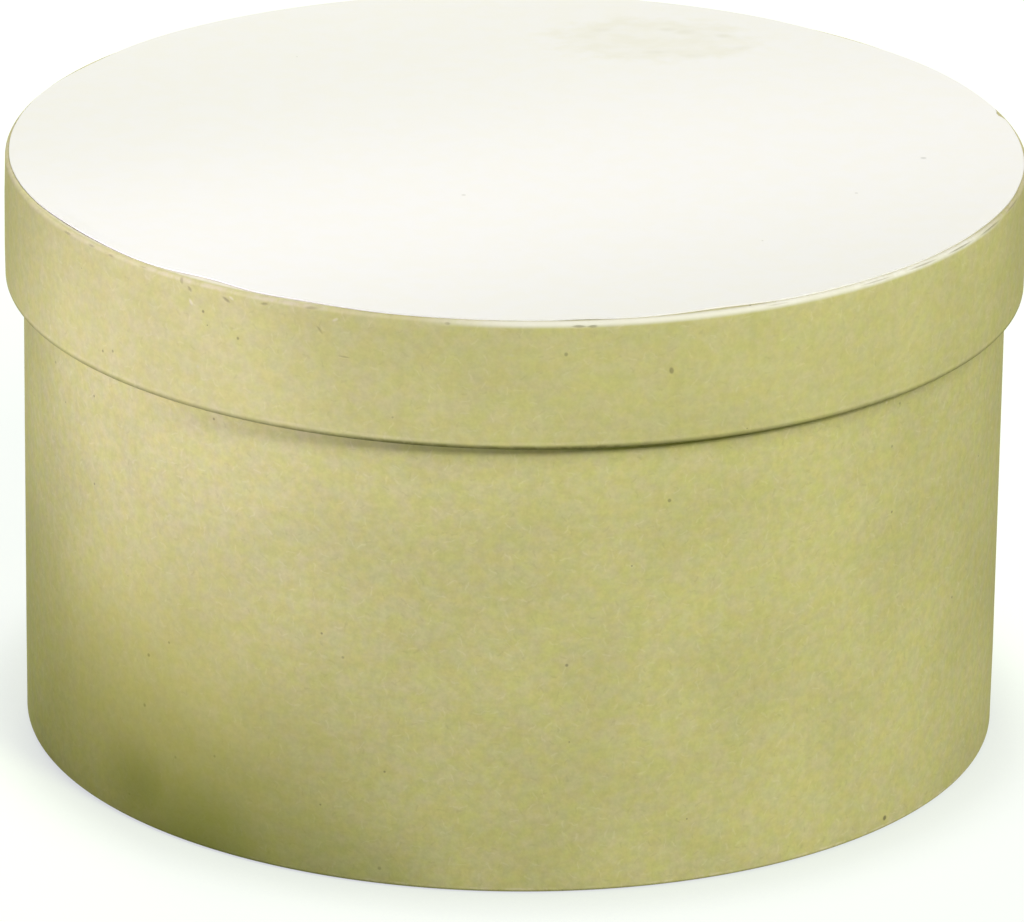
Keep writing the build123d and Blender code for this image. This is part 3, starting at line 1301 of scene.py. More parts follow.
@dataclass(frozen=True)
class GummedTape:
    """Brown gummed tape: smooth kraft with fine lines along its length.

    Attributes:
        name: name of the finish.
        colour: its mean colour.
        LINES: noise of the lines.
        LINE_STRETCH: what its places are multiplied by, so that the lines run along it.
        LINE_SPAN: values of that noise between which the colour turns.
        LIGHTER: how many times as light the lighter lines are.
        BLOTCH: noise of its blotches.
        BLOTCH_SPAN: values of that noise between which a blotch begins and is whole.
        BLOTCH_COLOUR: colour of the blotches.
        BLOTCH_STRENGTH: share of that colour.
        ROUGHNESS: roughness off and on the blotches.
        BUMP: depth of the lines.
    """

    name: str
    colour: Colour

    LINES: ClassVar[Noise] = Noise(0.5)
    LINE_STRETCH: ClassVar[tuple[float, float, float]] = (1.0, 1.0, 0.05)
    LINE_SPAN: ClassVar[Span] = (0.3, 0.7)
    LIGHTER: ClassVar[float] = 1.25
    BLOTCH: ClassVar[Noise] = Noise(4.0, detail=3.0)
    BLOTCH_SPAN: ClassVar[Span] = (0.4, 0.8)
    BLOTCH_COLOUR: ClassVar[Colour] = (0.3, 0.2, 0.1)
    BLOTCH_STRENGTH: ClassVar[float] = 0.3
    ROUGHNESS: ClassVar[Span] = (0.42, 0.6)
    BUMP: ClassVar[float] = 0.015 * MILLIMETRE

    def material(self) -> bpy.types.Material:
        """Makes the finish.

        Returns:
            The material.
        """
        graph = Graph(self.name)
        where = graph.solid()
        lined = graph.vector("MULTIPLY", where, self.LINE_STRETCH).outputs[0]
        lines = graph.noise(lined, self.LINES)
        blotch = graph.noise(where, self.BLOTCH)
        lighter = tuple(self.LIGHTER * channel for channel in self.colour)
        colour = graph.blend(graph.eased(lines, *self.LINE_SPAN), self.colour, lighter)
        dark = graph.eased(blotch, *self.BLOTCH_SPAN, to_high=self.BLOTCH_STRENGTH)
        colour = graph.blend(dark, colour, self.BLOTCH_COLOUR)
        roughness = graph.eased(blotch, *ROUGHNESS_SPAN, *self.ROUGHNESS)
        graph.finish(colour, roughness, lines, self.BUMP)
        return graph.material


@dataclass(frozen=True)
class Papers:
    """The papers that wrap the boards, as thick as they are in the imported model.

    Attributes:
        cover: thickness of the covers.
        lining: thickness of the linings.
        board_edge: rounding of the boards' edges under the covers.
    """

    cover: float = 0.25 * MILLIMETRE
    lining: float = 0.2 * MILLIMETRE
    board_edge: float = 0.5 * MILLIMETRE

    @property
    def fold_radius(self) -> float:
        """Radius of a fold over the rounded edge of the board, through the middle of the cover."""
        return self.board_edge + self.cover / 2


class SubAssembly:
    """What the base and the lid have in common: placing pieces and dressing boards.

    Attributes:
        body: the body that its pieces ride on.
    """

    body: ClassVar[Body]

    def place(self, shell: Shell, name: str, material: bpy.types.Material, slot: Slot) -> None:
        """Makes a sheet that stands for a CAD node.

        Args:
            shell: the sheet.
            name: name of the node, which the piece is named after.
            material: its finish.
            slot: the record's slot for it; not used.
        """
        piece = shell.piece(f"{name}_paper")
        piece.data.materials.append(material)
        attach(piece, self.body.value)
        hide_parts(name)
        LOG.info("%s: %d faces, rides on %s", piece.name, len(piece.data.polygons), self.body.value)

    def dress(self, name: str, material: bpy.types.Material) -> None:
        """Gives a CAD node that stays its finish.

        Args:
            name: name of the node.
            material: its finish.
        """
        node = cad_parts[name]
        for slot in node.material_slots:
            slot.material = material
        LOG.info("%s: keeps its solid, finished as %s", name, material.name)


@dataclass(frozen=True)
class WallMark:
    """One mark on the outside of a wall.

    Attributes:
        azimuth: where it is, in degrees.
        height: its height.
        size: its radius.
        kind: what it is.
        strength: how much of it shows, from 0 to 1.
        stretch: how many times as long as wide it is.
        lean: turn of its length from the way round the box, in degrees.
    """

    azimuth: float
    height: float
    size: float
    kind: MarkKind = MarkKind.SPECK
    strength: float = 1.0
    stretch: float = 1.0
    lean: float = 0.0

    def on(self, wrap: Wrap) -> Mark:
        """The mark on the paper that is wrapped round the wall."""
        across = wrap.across(self.azimuth, self.height)
        return Mark(across, self.size, self.kind, self.strength, self.stretch, self.lean)


@dataclass(frozen=True)
class Finishes:
    """The finishes that both sub-assemblies draw on.

    Attributes:
        kraft: the kraft of the covers, which each cover marks in its own way.
        pale: the pale paper of the top.
        plain_kraft: kraft without marks.
        lining: the kraft of linings, floor and ceiling.
        board: the board.
        tape: the gummed tape.
    """

    kraft: KraftPaper
    pale: PaleSheet
    plain_kraft: bpy.types.Material
    lining: bpy.types.Material
    board: bpy.types.Material
    tape: bpy.types.Material


@dataclass(frozen=True)
class Base(SubAssembly):
    """The base: rolled wall, floor, cover, lining and the sheets on and under the floor.

    Attributes:
        papers: thicknesses of the papers.
        wall_board: thickness of the wall's board.
        rim_turn_in: length of the cover inside the rim.
        underside_turn_in: length of the cover under the floor.
        lap_azimuth: middle of the cover's lap, in degrees.
        lap_width: width of the laps.
        lining_lap_azimuth: middle of the lining's lap, in degrees.
        butt_azimuth: where the wall's board butts, in degrees.
        marks: the marks on its wall.
    """

    papers: Papers
    wall_board: float = 1.8 * MILLIMETRE
    rim_turn_in: float = 14.0 * MILLIMETRE
    underside_turn_in: float = 12.0 * MILLIMETRE
    lap_azimuth: float = 90.0
    lap_width: float = 12.0 * MILLIMETRE
    lining_lap_azimuth: float = 64.0
    butt_azimuth: float = 118.0
    marks: tuple[WallMark, ...] = (
        WallMark(-156.2, 0.0866, 0.0004, strength=0.6),
        WallMark(-72.1, 0.08, 0.0005, strength=0.7),
        WallMark(-41.4, 0.081, 0.0004, strength=0.5),
        WallMark(-40.2, 0.0893, 0.0004, strength=0.5),
        WallMark(-42.6, 0.0906, 0.0005, MarkKind.CHIP, 0.7),
        WallMark(-135.8, 0.0367, 0.0005, strength=0.9),
        WallMark(-136.5, 0.0258, 0.0005, strength=0.9),
        WallMark(-109.0, 0.0466, 0.0004, strength=0.5),
        WallMark(-131.4, 0.0174, 0.0004, strength=0.6),
        WallMark(-104.5, 0.0036, 0.0005, strength=0.5),
        WallMark(-40.6, 0.0025, 0.0007, strength=1.0),
        # Painted shade: soft dark olive patches low on the front left of the wall.
        WallMark(-127.5, 0.001, 0.024, MarkKind.PAINTED_SHADE, stretch=1.4, lean=8.0),
        WallMark(-136.5, 0.008, 0.014, MarkKind.PAINTED_SHADE, 0.85, stretch=1.2),
        WallMark(-112.5, 0.003, 0.018, MarkKind.PAINTED_SHADE, 0.45, stretch=2.0, lean=10.0),
        WallMark(-124.0, 0.017, 0.013, MarkKind.PAINTED_SHADE, 0.3, stretch=2.2, lean=15.0),
        # Painted shade tint: a wide yellow patch over the painted shade on the front left.
        WallMark(-138.0, 0.022, 0.052, MarkKind.PAINTED_SHADE_TINT, stretch=1.3),
    )

    body: ClassVar[Body] = Body.BASE

    def build(self, finishes: Finishes) -> None:
        """Builds and dresses every piece of the base.

        Args:
            finishes: the finishes that it draws on.
        """
        cover = self.cover()
        rim, brim, foot = cover.section.folds
        kraft = replace(
            finishes.kraft,
            name="kraft_base_cover",
            marks=tuple(mark.on(cover) for mark in self.marks),
            wear_and_light_lines=(
                WearAndPaintedLight((rim + brim) / 2, half_width=1.6 * MILLIMETRE, strength=0.4, least=0.2),
                WearAndPaintedLight(foot - 0.5 * MILLIMETRE, half_width=0.4 * MILLIMETRE, strength=0.35),
            ),
        ).material()
        self.place(cover.shell(), "base_cover", kraft, Slot.KRAFT_COVER)
        self.place(self.lining().shell(), "base_lining", finishes.lining, Slot.KRAFT_LINING)
        floor = self.sheet("base_floor_sheet", Facing.UP, 0.12 * MILLIMETRE).shell()
        self.place(floor, "base_floor_sheet", finishes.lining, Slot.KRAFT_LINING)
        underside = self.sheet("base_underside_sheet", Facing.DOWN, 0.0).shell()
        self.place(underside, "base_underside_sheet", finishes.plain_kraft, Slot.KRAFT_COVER)
        for name in ("base_wall_board", "base_floor_board"):
            self.dress(name, finishes.board)
        self.dress("base_wall_tape", finishes.tape)

    @staticmethod
    def sheet(name: str, facing: Facing, relief: float) -> RoundSheet:
        """The round sheet on or under the floor.

        Args:
            name: its node.
            facing: which way its good face looks.
            relief: how uneven it lies.

        Returns:
            The sheet.
        """
        low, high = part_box(name)
        return RoundSheet(
            radius=high.x,
            low=low.z,
            paper=high.z - low.z,
            facing=facing,
            cut=Ripple(21, 0.5 * MILLIMETRE, waves=40),
            relief=Ripple(22, relief),
        )

    def cover(self) -> Wrap:
        """Lays the cover from inside the rim, over it, down the wall and under the floor.

        Returns:
            The wrapped strip.
        """
        low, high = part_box("base_cover")
        paper, fold = self.papers.cover, self.papers.fold_radius
        outer = high.x - paper / 2
        inner = high.x - paper - self.wall_board + paper / 2
        section = Section.folded(
            [
                (inner, high.z - self.rim_turn_in),
                (inner, high.z - paper / 2),
                (outer, high.z - paper / 2),
                (outer, low.z + paper / 2),
                (high.x - self.underside_turn_in, low.z + paper / 2),
            ],
            fold,
            step=3.0 * MILLIMETRE,
        )
        rim = self.rim_turn_in + (outer - inner)
        foot = section.run[-1] - self.underside_turn_in
        return Wrap(
            section=section,
            paper=paper,
            radius=high.x,
            lap_azimuth=self.lap_azimuth,
            lap_width=self.lap_width,
            proud=(
                (self.rim_turn_in - 5.0 * MILLIMETRE, 0.0),
                (self.rim_turn_in - 4.0 * MILLIMETRE, 1.0),
                (foot - 4.0 * MILLIMETRE, 1.0),
                (foot - 1.0 * MILLIMETRE, 0.0),
            ),
            relief=Ripple(5, 0.34 * MILLIMETRE, waves=8),
            relief_share=(
                (rim - 3.0 * MILLIMETRE, 0.0),
                (rim + 12.0 * MILLIMETRE, 1.0),
                (foot - 16.0 * MILLIMETRE, 1.0),
                (foot - 1.0 * MILLIMETRE, 0.0),
            ),
            cut=Ripple(6, 0.9 * MILLIMETRE, waves=34),
            seam=Seam(self.butt_azimuth),
        )

    def lining(self) -> Wrap:
        """Lays the lining of the wall from the floor up to a little below the rim.

        Returns:
            The wrapped strip.
        """
        low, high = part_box("base_lining")
        paper = self.papers.lining
        middle = high.x - paper / 2
        section = Section.folded([(middle, low.z), (middle, high.z)], paper, step=3.0 * MILLIMETRE)
        return Wrap(
            section=section,
            paper=paper,
            radius=high.x,
            lap_azimuth=self.lining_lap_azimuth,
            lap_width=self.lap_width,
            proud=((0.0, 1.0), (section.run[-1], 1.0)),
            relief=Ripple(8, 0.3 * MILLIMETRE),
            relief_share=((0.0, 0.0), (12.0 * MILLIMETRE, 1.0), (section.run[-1], 0.25)),
            cut=Ripple(9, 0.9 * MILLIMETRE, waves=30),
        )


@dataclass(frozen=True)
class Lid(SubAssembly):
    """The lid: rolled rim, top, cover, lining and the sheets over and under the top.

    Attributes:
        papers: thicknesses of the papers.
        rim_board: thickness of the rim's board.
        top_turn_in: length of the cover over the margin of the top.
        rim_turn_in: length of the cover up inside the rim.
        lap_azimuth: middle of the cover's lap, in degrees.
        lap_width: width of the laps.
        lining_lap_azimuth: middle of the lining's lap, in degrees.
        butt_azimuth: where the rim's board butts, in degrees.
        shade_line_azimuth: where the painted shade along its lower edge is darkest, in degrees.
        highlight_azimuth: where the painted highlight along its upper edge is strongest, in
            degrees.
        faults: where the top sheet was cut short or its edge stands off.
        marks: the marks on its wall.
        sheet_marks: the marks on its top sheet.
    """

    papers: Papers
    rim_board: float = 1.8 * MILLIMETRE
    top_turn_in: float = 11.0 * MILLIMETRE
    rim_turn_in: float = 9.0 * MILLIMETRE
    lap_azimuth: float = 62.0
    lap_width: float = 12.0 * MILLIMETRE
    lining_lap_azimuth: float = 125.0
    butt_azimuth: float = 32.0
    shade_line_azimuth: float = -92.0
    highlight_azimuth: float = -60.0
    faults: tuple[EdgeFault, ...] = (
        EdgeFault(-148.0, 14.0, short=1.0 * MILLIMETRE),
        EdgeFault(-126.0, 5.5, short=2.0 * MILLIMETRE),
        EdgeFault(-114.0, 6.0, short=1.0 * MILLIMETRE),
        EdgeFault(-67.0, 5.0, short=0.9 * MILLIMETRE),
        EdgeFault(-148.0, 8.0, lift=0.1 * MILLIMETRE),
        EdgeFault(-82.5, 2.5, lift=0.14 * MILLIMETRE),
        EdgeFault(-25.0, 8.0, lift=0.14 * MILLIMETRE),
        EdgeFault(14.6, 1.1, short=0.8 * MILLIMETRE),
        EdgeFault(48.0, 9.0, short=0.8 * MILLIMETRE),
        EdgeFault(100.0, 7.0, lift=0.12 * MILLIMETRE),
        EdgeFault(150.0, 7.0, short=0.6 * MILLIMETRE),
    )
    marks: tuple[WallMark, ...] = (
        WallMark(-128.7, 0.118, 0.0005, MarkKind.DENT_AND_PAINTED_SHADE, stretch=2.0, lean=70.0),
        WallMark(-127.5, 0.1168, 0.0005, MarkKind.DENT_AND_PAINTED_SHADE, stretch=1.6, lean=40.0),
        WallMark(-127.3, 0.1143, 0.0005, MarkKind.CHIP, 0.8, stretch=2.0, lean=60.0),
        WallMark(-125.6, 0.1131, 0.0004, strength=0.8),
        WallMark(-122.6, 0.1165, 0.0005, MarkKind.DENT_AND_PAINTED_SHADE, stretch=2.4, lean=25.0),
        WallMark(-121.9, 0.1171, 0.0004, MarkKind.CHIP, 0.8, stretch=2.0, lean=30.0),
        WallMark(-117.8, 0.1173, 0.0004, MarkKind.DENT_AND_PAINTED_SHADE, 0.8, stretch=2.6, lean=-10.0),
        WallMark(-112.2, 0.1181, 0.0004, MarkKind.DENT_AND_PAINTED_SHADE, 0.9, stretch=4.5, lean=-4.0),
        WallMark(-109.4, 0.1165, 0.0004, MarkKind.CHIP, 0.8, stretch=2.2, lean=-30.0),
        WallMark(-111.2, 0.114, 0.0004, MarkKind.DENT_AND_PAINTED_SHADE, 0.6, stretch=3.0, lean=50.0),
        WallMark(-108.4, 0.1093, 0.0003, MarkKind.DENT_AND_PAINTED_SHADE, 0.5, stretch=5.0, lean=2.0),
        WallMark(-126.3, 0.1017, 0.0006, MarkKind.SMUDGE, 1.0),
        WallMark(-121.0, 0.1094, 0.0004, strength=0.7),
        WallMark(-141.2, 0.0979, 0.0004, strength=0.7),
        WallMark(-139.4, 0.0988, 0.0004, strength=0.6),
        WallMark(-83.1, 0.1176, 0.0004, MarkKind.DENT_AND_PAINTED_SHADE, stretch=4.0, lean=2.0),
        WallMark(-81.6, 0.1175, 0.0004, MarkKind.DENT_AND_PAINTED_SHADE, stretch=3.0, lean=-3.0),
        WallMark(-90.2, 0.112, 0.0005, MarkKind.SMUDGE, 0.7, stretch=1.8, lean=20.0),
        WallMark(-84.4, 0.1122, 0.0005, strength=0.6),
        WallMark(-72.9, 0.1078, 0.0006, strength=0.7, stretch=1.5, lean=80.0),
        WallMark(-97.1, 0.1178, 0.0004, MarkKind.DENT_AND_PAINTED_SHADE, 0.7, stretch=1.8),
        WallMark(-102.9, 0.0983, 0.0003, strength=0.4),
        # Painted shadow: long thin dark marks along the top edge, standing for the shadow line
        # under the edge of the top sheet.
        WallMark(-148.5, 0.1181, 0.00022, MarkKind.DENT_AND_PAINTED_SHADE, 0.9, stretch=8.0),
        WallMark(-143.5, 0.1182, 0.00022, MarkKind.DENT_AND_PAINTED_SHADE, 0.8, stretch=7.0),
        WallMark(-139.8, 0.118, 0.00022, MarkKind.DENT_AND_PAINTED_SHADE, 0.9, stretch=5.0),
        WallMark(-134.5, 0.1182, 0.0002, MarkKind.DENT_AND_PAINTED_SHADE, 0.6, stretch=9.0),
        WallMark(-60.5, 0.1182, 0.00018, MarkKind.DENT_AND_PAINTED_SHADE, 0.5, stretch=20.0),
        WallMark(-47.0, 0.1181, 0.00018, MarkKind.DENT_AND_PAINTED_SHADE, 0.7, stretch=30.0),
        WallMark(-39.5, 0.1181, 0.0002, MarkKind.DENT_AND_PAINTED_SHADE, 0.9, stretch=32.0, lean=0.4),
        WallMark(-32.0, 0.118, 0.0002, MarkKind.DENT_AND_PAINTED_SHADE, stretch=32.0),
        WallMark(-24.5, 0.118, 0.0002, MarkKind.DENT_AND_PAINTED_SHADE, stretch=34.0, lean=-0.4),
        WallMark(-16.5, 0.1181, 0.0002, MarkKind.DENT_AND_PAINTED_SHADE, 0.9, stretch=34.0),
    )
    sheet_marks: tuple[Mark, ...] = (
        Mark((-0.0102, -0.0291), 0.0006, MarkKind.SPECK, 0.3),
        Mark((0.0808, -0.0026), 0.0008, MarkKind.SPECK, 0.35),
        Mark((0.0668, -0.0246), 0.0005, MarkKind.SPECK, 0.3),
        Mark((0.0172, 0.0771), 0.0022, MarkKind.SMUDGE, 0.25, stretch=1.3),
        Mark((0.0309, 0.078), 0.002, MarkKind.SMUDGE, 0.4, stretch=1.4),
        Mark((0.0346, 0.0765), 0.0026, MarkKind.SMUDGE, 0.4, stretch=1.2, lean=30.0),
        Mark((0.0424, 0.0742), 0.0021, MarkKind.SMUDGE, 0.45, stretch=1.2, lean=-30.0),
        Mark((0.0287, 0.0629), 0.0018, MarkKind.SMUDGE, 0.3, stretch=2.0, lean=4.0),
        Mark((0.0356, 0.0606), 0.002, MarkKind.SMUDGE, 0.25, stretch=2.0, lean=-4.0),
        Mark((0.046, 0.0664), 0.0022, MarkKind.SMUDGE, 0.25, stretch=1.8, lean=35.0),
    )

    body: ClassVar[Body] = Body.LID

    def build(self, finishes: Finishes) -> None:
        """Builds and dresses every piece of the lid.

        Args:
            finishes: the finishes that it draws on.
        """
        cover = self.cover()
        kraft = replace(
            finishes.kraft,
            name="kraft_lid_cover",
            mottle=0.85,
            marks=tuple(mark.on(cover) for mark in self.marks),
            wear_and_light_lines=self.wear_and_light_lines(cover),
        ).material()
        top = replace(finishes.pale, marks=self.sheet_marks).material()
        self.place(cover.shell(), "lid_cover", kraft, Slot.KRAFT_COVER)
        self.place(self.lining().shell(), "lid_lining", finishes.lining, Slot.KRAFT_LINING)
        self.place(self.top_sheet().shell(), "lid_top_sheet", top, Slot.TOP_SHEET)
        self.place(self.ceiling().shell(), "lid_ceiling_sheet", finishes.lining, Slot.KRAFT_LINING)
        for name in ("lid_rim_board", "lid_top_board"):
            self.dress(name, finishes.board)
        self.dress("lid_rim_tape", finishes.tape)

    def wear_and_light_lines(self, cover: Wrap) -> tuple[WearAndPaintedLight, ...]:
        """Finds the lines along the cover's folds: painted highlights on the upper edge and above
        the lower edge, and painted shade along the lower edge.

        Args:
            cover: the cover.

        Returns:
            The lines, from the margin of the top down to the lower edge.
        """
        shoulder, foot, _ = cover.section.folds
        shade_middle, _ = cover.across(self.shade_line_azimuth, 0.0)
        highlight_middle, _ = cover.across(self.highlight_azimuth, 0.0)
        return (
            # Painted highlight: the bared margin of the top painted pale.
            WearAndPaintedLight(
                shoulder - 2.1 * MILLIMETRE,
                half_width=1.7 * MILLIMETRE,
                strength=0.85,
                colour=(0.82, 0.78, 0.65),
                least=0.85,
            ),
            # Painted highlight along the upper fold.
            WearAndPaintedLight(
                shoulder - 0.1 * MILLIMETRE,
                half_width=0.8 * MILLIMETRE,
                strength=0.55,
                colour=(0.66, 0.58, 0.44),
                least=0.35,
            ),
            # Painted highlight along the upper fold, strongest towards highlight_azimuth.
            WearAndPaintedLight(
                shoulder + 0.1 * MILLIMETRE,
                half_width=1.1 * MILLIMETRE,
                strength=0.85,
                colour=(0.88, 0.86, 0.76),
                least=0.85,
                fade=Fade(highlight_middle, near=0.05, far=0.075, share=0.0),
            ),
            # Painted highlight just above the lower edge.
            WearAndPaintedLight(
                foot - 1.15 * MILLIMETRE,
                half_width=0.4 * MILLIMETRE,
                strength=0.15,
                least=0.3,
            ),
            # Painted shade: a dark line on the lower fold for the shadow under the lid's edge,
            # darkest towards shade_line_azimuth.
            WearAndPaintedLight(
                foot - 0.15 * MILLIMETRE,
                half_width=0.75 * MILLIMETRE,
                strength=0.85,
                colour=(0.1, 0.1, 0.02),
                least=0.8,
                fade=Fade(shade_middle, near=0.012, far=0.045, share=0.58),
            ),
        )

    def cover(self) -> Wrap:
        """Lays the cover from the margin of the top, down the rim and up inside its lower edge.

        Returns:
            The wrapped strip.
        """
        low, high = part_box("lid_cover")
        paper, fold = self.papers.cover, self.papers.fold_radius
        outer = high.x - paper / 2
        inner = high.x - paper - self.rim_board + paper / 2
        section = Section.folded(
            [
                (high.x - self.top_turn_in, high.z - paper / 2),
                (outer, high.z - paper / 2),
                (outer, low.z + paper / 2),
                (inner, low.z + paper / 2),
                (inner, low.z + self.rim_turn_in),
            ],
            fold,
            step=2.0 * MILLIMETRE,
        )
        shoulder = self.top_turn_in
        foot = section.run[-1] - self.rim_turn_in - (outer - inner)
        return Wrap(
            section=section,
            paper=paper,
            radius=high.x,
            lap_azimuth=self.lap_azimuth,
            lap_width=self.lap_width,
            proud=(
                (shoulder, 0.0),
                (shoulder + 1.5 * MILLIMETRE, 1.0),
                (section.run[-1] - self.rim_turn_in + 2.0 * MILLIMETRE, 1.0),
                (section.run[-1] - self.rim_turn_in + 3.0 * MILLIMETRE, 0.0),
            ),
            relief=Ripple(12, 0.3 * MILLIMETRE, waves=10),
            relief_share=(
                (shoulder, 0.0),
                (shoulder + 8.0 * MILLIMETRE, 1.0),
                (foot - 6.0 * MILLIMETRE, 1.0),
                (foot, 0.4),
                (foot + 3.0 * MILLIMETRE, 0.0),
            ),
            cut=Ripple(13, 0.8 * MILLIMETRE, waves=34),
            seam=Seam(self.butt_azimuth),
        )

    def lining(self) -> Wrap:
        """Lays the lining of the rim from the top down to a little above the lower edge.

        Returns:
            The wrapped strip.
        """
        low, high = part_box("lid_lining")
        paper = self.papers.lining
        middle = high.x - paper / 2
        section = Section.folded([(middle, low.z), (middle, high.z)], paper, step=2.0 * MILLIMETRE)
        return Wrap(
            section=section,
            paper=paper,
            radius=high.x,
            lap_azimuth=self.lining_lap_azimuth,
            lap_width=self.lap_width,
            proud=((0.0, 1.0), (section.run[-1], 1.0)),
            relief=Ripple(15, 0.2 * MILLIMETRE),
            relief_share=((0.0, 0.2), (8.0 * MILLIMETRE, 1.0), (section.run[-1], 0.0)),
            cut=Ripple(16, 0.7 * MILLIMETRE, waves=30),
        )

    def top_sheet(self) -> RoundSheet:
        """Lays the pale sheet on the top.

        Returns:
            The sheet.
        """
        low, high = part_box("lid_top_sheet")
        return RoundSheet(
            radius=high.x + 0.1 * MILLIMETRE,
            low=low.z,
            paper=high.z - low.z,
            facing=Facing.UP,
            cut=Ripple(31, 0.5 * MILLIMETRE, waves=46),
            relief=Ripple(32, 0.04 * MILLIMETRE),
            faults=self.faults,
            step_radius=high.x - self.top_turn_in,
        )

    def ceiling(self) -> RoundSheet:
        """Lays the sheet under the top, which rests on the rim of the base.

        Returns:
            The sheet.
        """
        low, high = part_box("lid_ceiling_sheet")
        return RoundSheet(
            radius=high.x,
            low=low.z,
            paper=high.z - low.z,
            facing=Facing.DOWN,
            cut=Ripple(35, 0.5 * MILLIMETRE, waves=40),
            relief=Ripple(36, 0.0),
        )


@dataclass(frozen=True)
class PhotoCamera:
    """The camera that took the photograph, worked out from the outlines of lid and base.

    Attributes:
        distance: from the middle of the underside.
        elevation: above the floor, in degrees.
        tilt: how far it looks above the middle of the underside, in degrees.
        roll: turn round its own line of sight, in degrees.
        focal_length: focal length, in units of the sensor's width.
        sensor: the sensor's width, in millimetres.
        CLIP: nearest and farthest that it sees.
    """

    distance: float = 1.7898
    elevation: float = 22.272
    tilt: float = 1.568
    roll: float = -0.815
    focal_length: float = 8.584
    sensor: float = 36.0

    CLIP: ClassVar[Span] = (0.1, 20.0)

    def make(self) -> None:
        """Makes the camera and gives it to the scene."""
        data = bpy.data.cameras.new("photo_camera")
        data.sensor_width = self.sensor
        data.lens = self.focal_length * self.sensor
        data.clip_start, data.clip_end = self.CLIP
        camera = bpy.data.objects.new("photo_camera", data)
        rise = math.radians(self.elevation)
        place = Vector((0.0, -math.cos(rise), math.sin(rise))) * self.distance
        looking = Matrix.Rotation(math.pi / 2 - rise + math.radians(self.tilt), 4, "X")
        rolled = Matrix.Rotation(-math.radians(self.roll), 4, "Z")
        camera.matrix_world = Matrix.Translation(place) @ looking @ rolled
        bpy.context.scene.collection.objects.link(camera)
        bpy.context.scene.camera = camera


@dataclass(frozen=True)
class Lamp:
    """A lamp that stands round the box and looks at a point of it.

    Attributes:
        name: its name.
        azimuth: where it stands, in degrees, seen from that point.
        elevation: how high it stands, in degrees.
        distance: from that point.
        power: in watts.
        aim: the point.
        colour: colour of its light.
    """

    name: str
    azimuth: float
    elevation: float
    distance: float
    power: float
    aim: tuple[float, float, float] = (0.0, 0.0, 0.06)
    colour: Colour = (1.0, 1.0, 1.0)

    def make(self) -> bpy.types.Object:
        """Makes the lamp.

        Returns:
            The lamp.
        """
        data = self.source()
        data.energy, data.color = self.power, self.colour
        lamp = bpy.data.objects.new(self.name, data)
        turn, rise = math.radians(self.azimuth), math.radians(self.elevation)
        level = math.cos(rise)
        way = Vector((level * math.cos(turn), level * math.sin(turn), math.sin(rise)))
        lamp.location = way * self.distance + Vector(self.aim)
        lamp.rotation_mode = "QUATERNION"
        lamp.rotation_quaternion = way.to_track_quat("Z", "Y")
        bpy.context.scene.collection.objects.link(lamp)
        return lamp

    def source(self) -> bpy.types.Light:
        """The lamp's source of light, without its power and colour."""
        raise NotImplementedError


@dataclass(frozen=True)
class SoftLamp(Lamp):
    """A square soft lamp.

    Attributes:
        size: its side.
    """

    size: float = 0.8

    def source(self) -> bpy.types.Light:
        """Makes the square that gives the light.

        Returns:
            The source of light, without its power and colour.
        """
        data = bpy.data.lights.new(self.name, "AREA")
        data.shape, data.size = "SQUARE", self.size
        return data


@dataclass(frozen=True)
class OvalSpot(Lamp):
    """A soft spot whose cone is an oval.

    Attributes:
        half_width: half the width of its oval at the point that it looks at.
        half_height: half its height there.
        radius: radius of its source.
    """

    half_width: float = 0.076
    half_height: float = 0.097
    radius: float = 0.04

    def make(self) -> bpy.types.Object:
        """Makes the lamp.

        Returns:
            The lamp.
        """
        lamp = super().make()
        lamp.scale.x = self.half_width / self.half_height
        return lamp

    def source(self) -> bpy.types.Light:
        """Makes the cone that gives the light.

        Returns:
            The source of light, without its power and colour.
        """
        data = bpy.data.lights.new(self.name, "SPOT")
        data.spot_size = 2 * math.atan(self.half_height / self.distance)
        data.spot_blend, data.shadow_soft_size = 1.0, self.radius
        return data


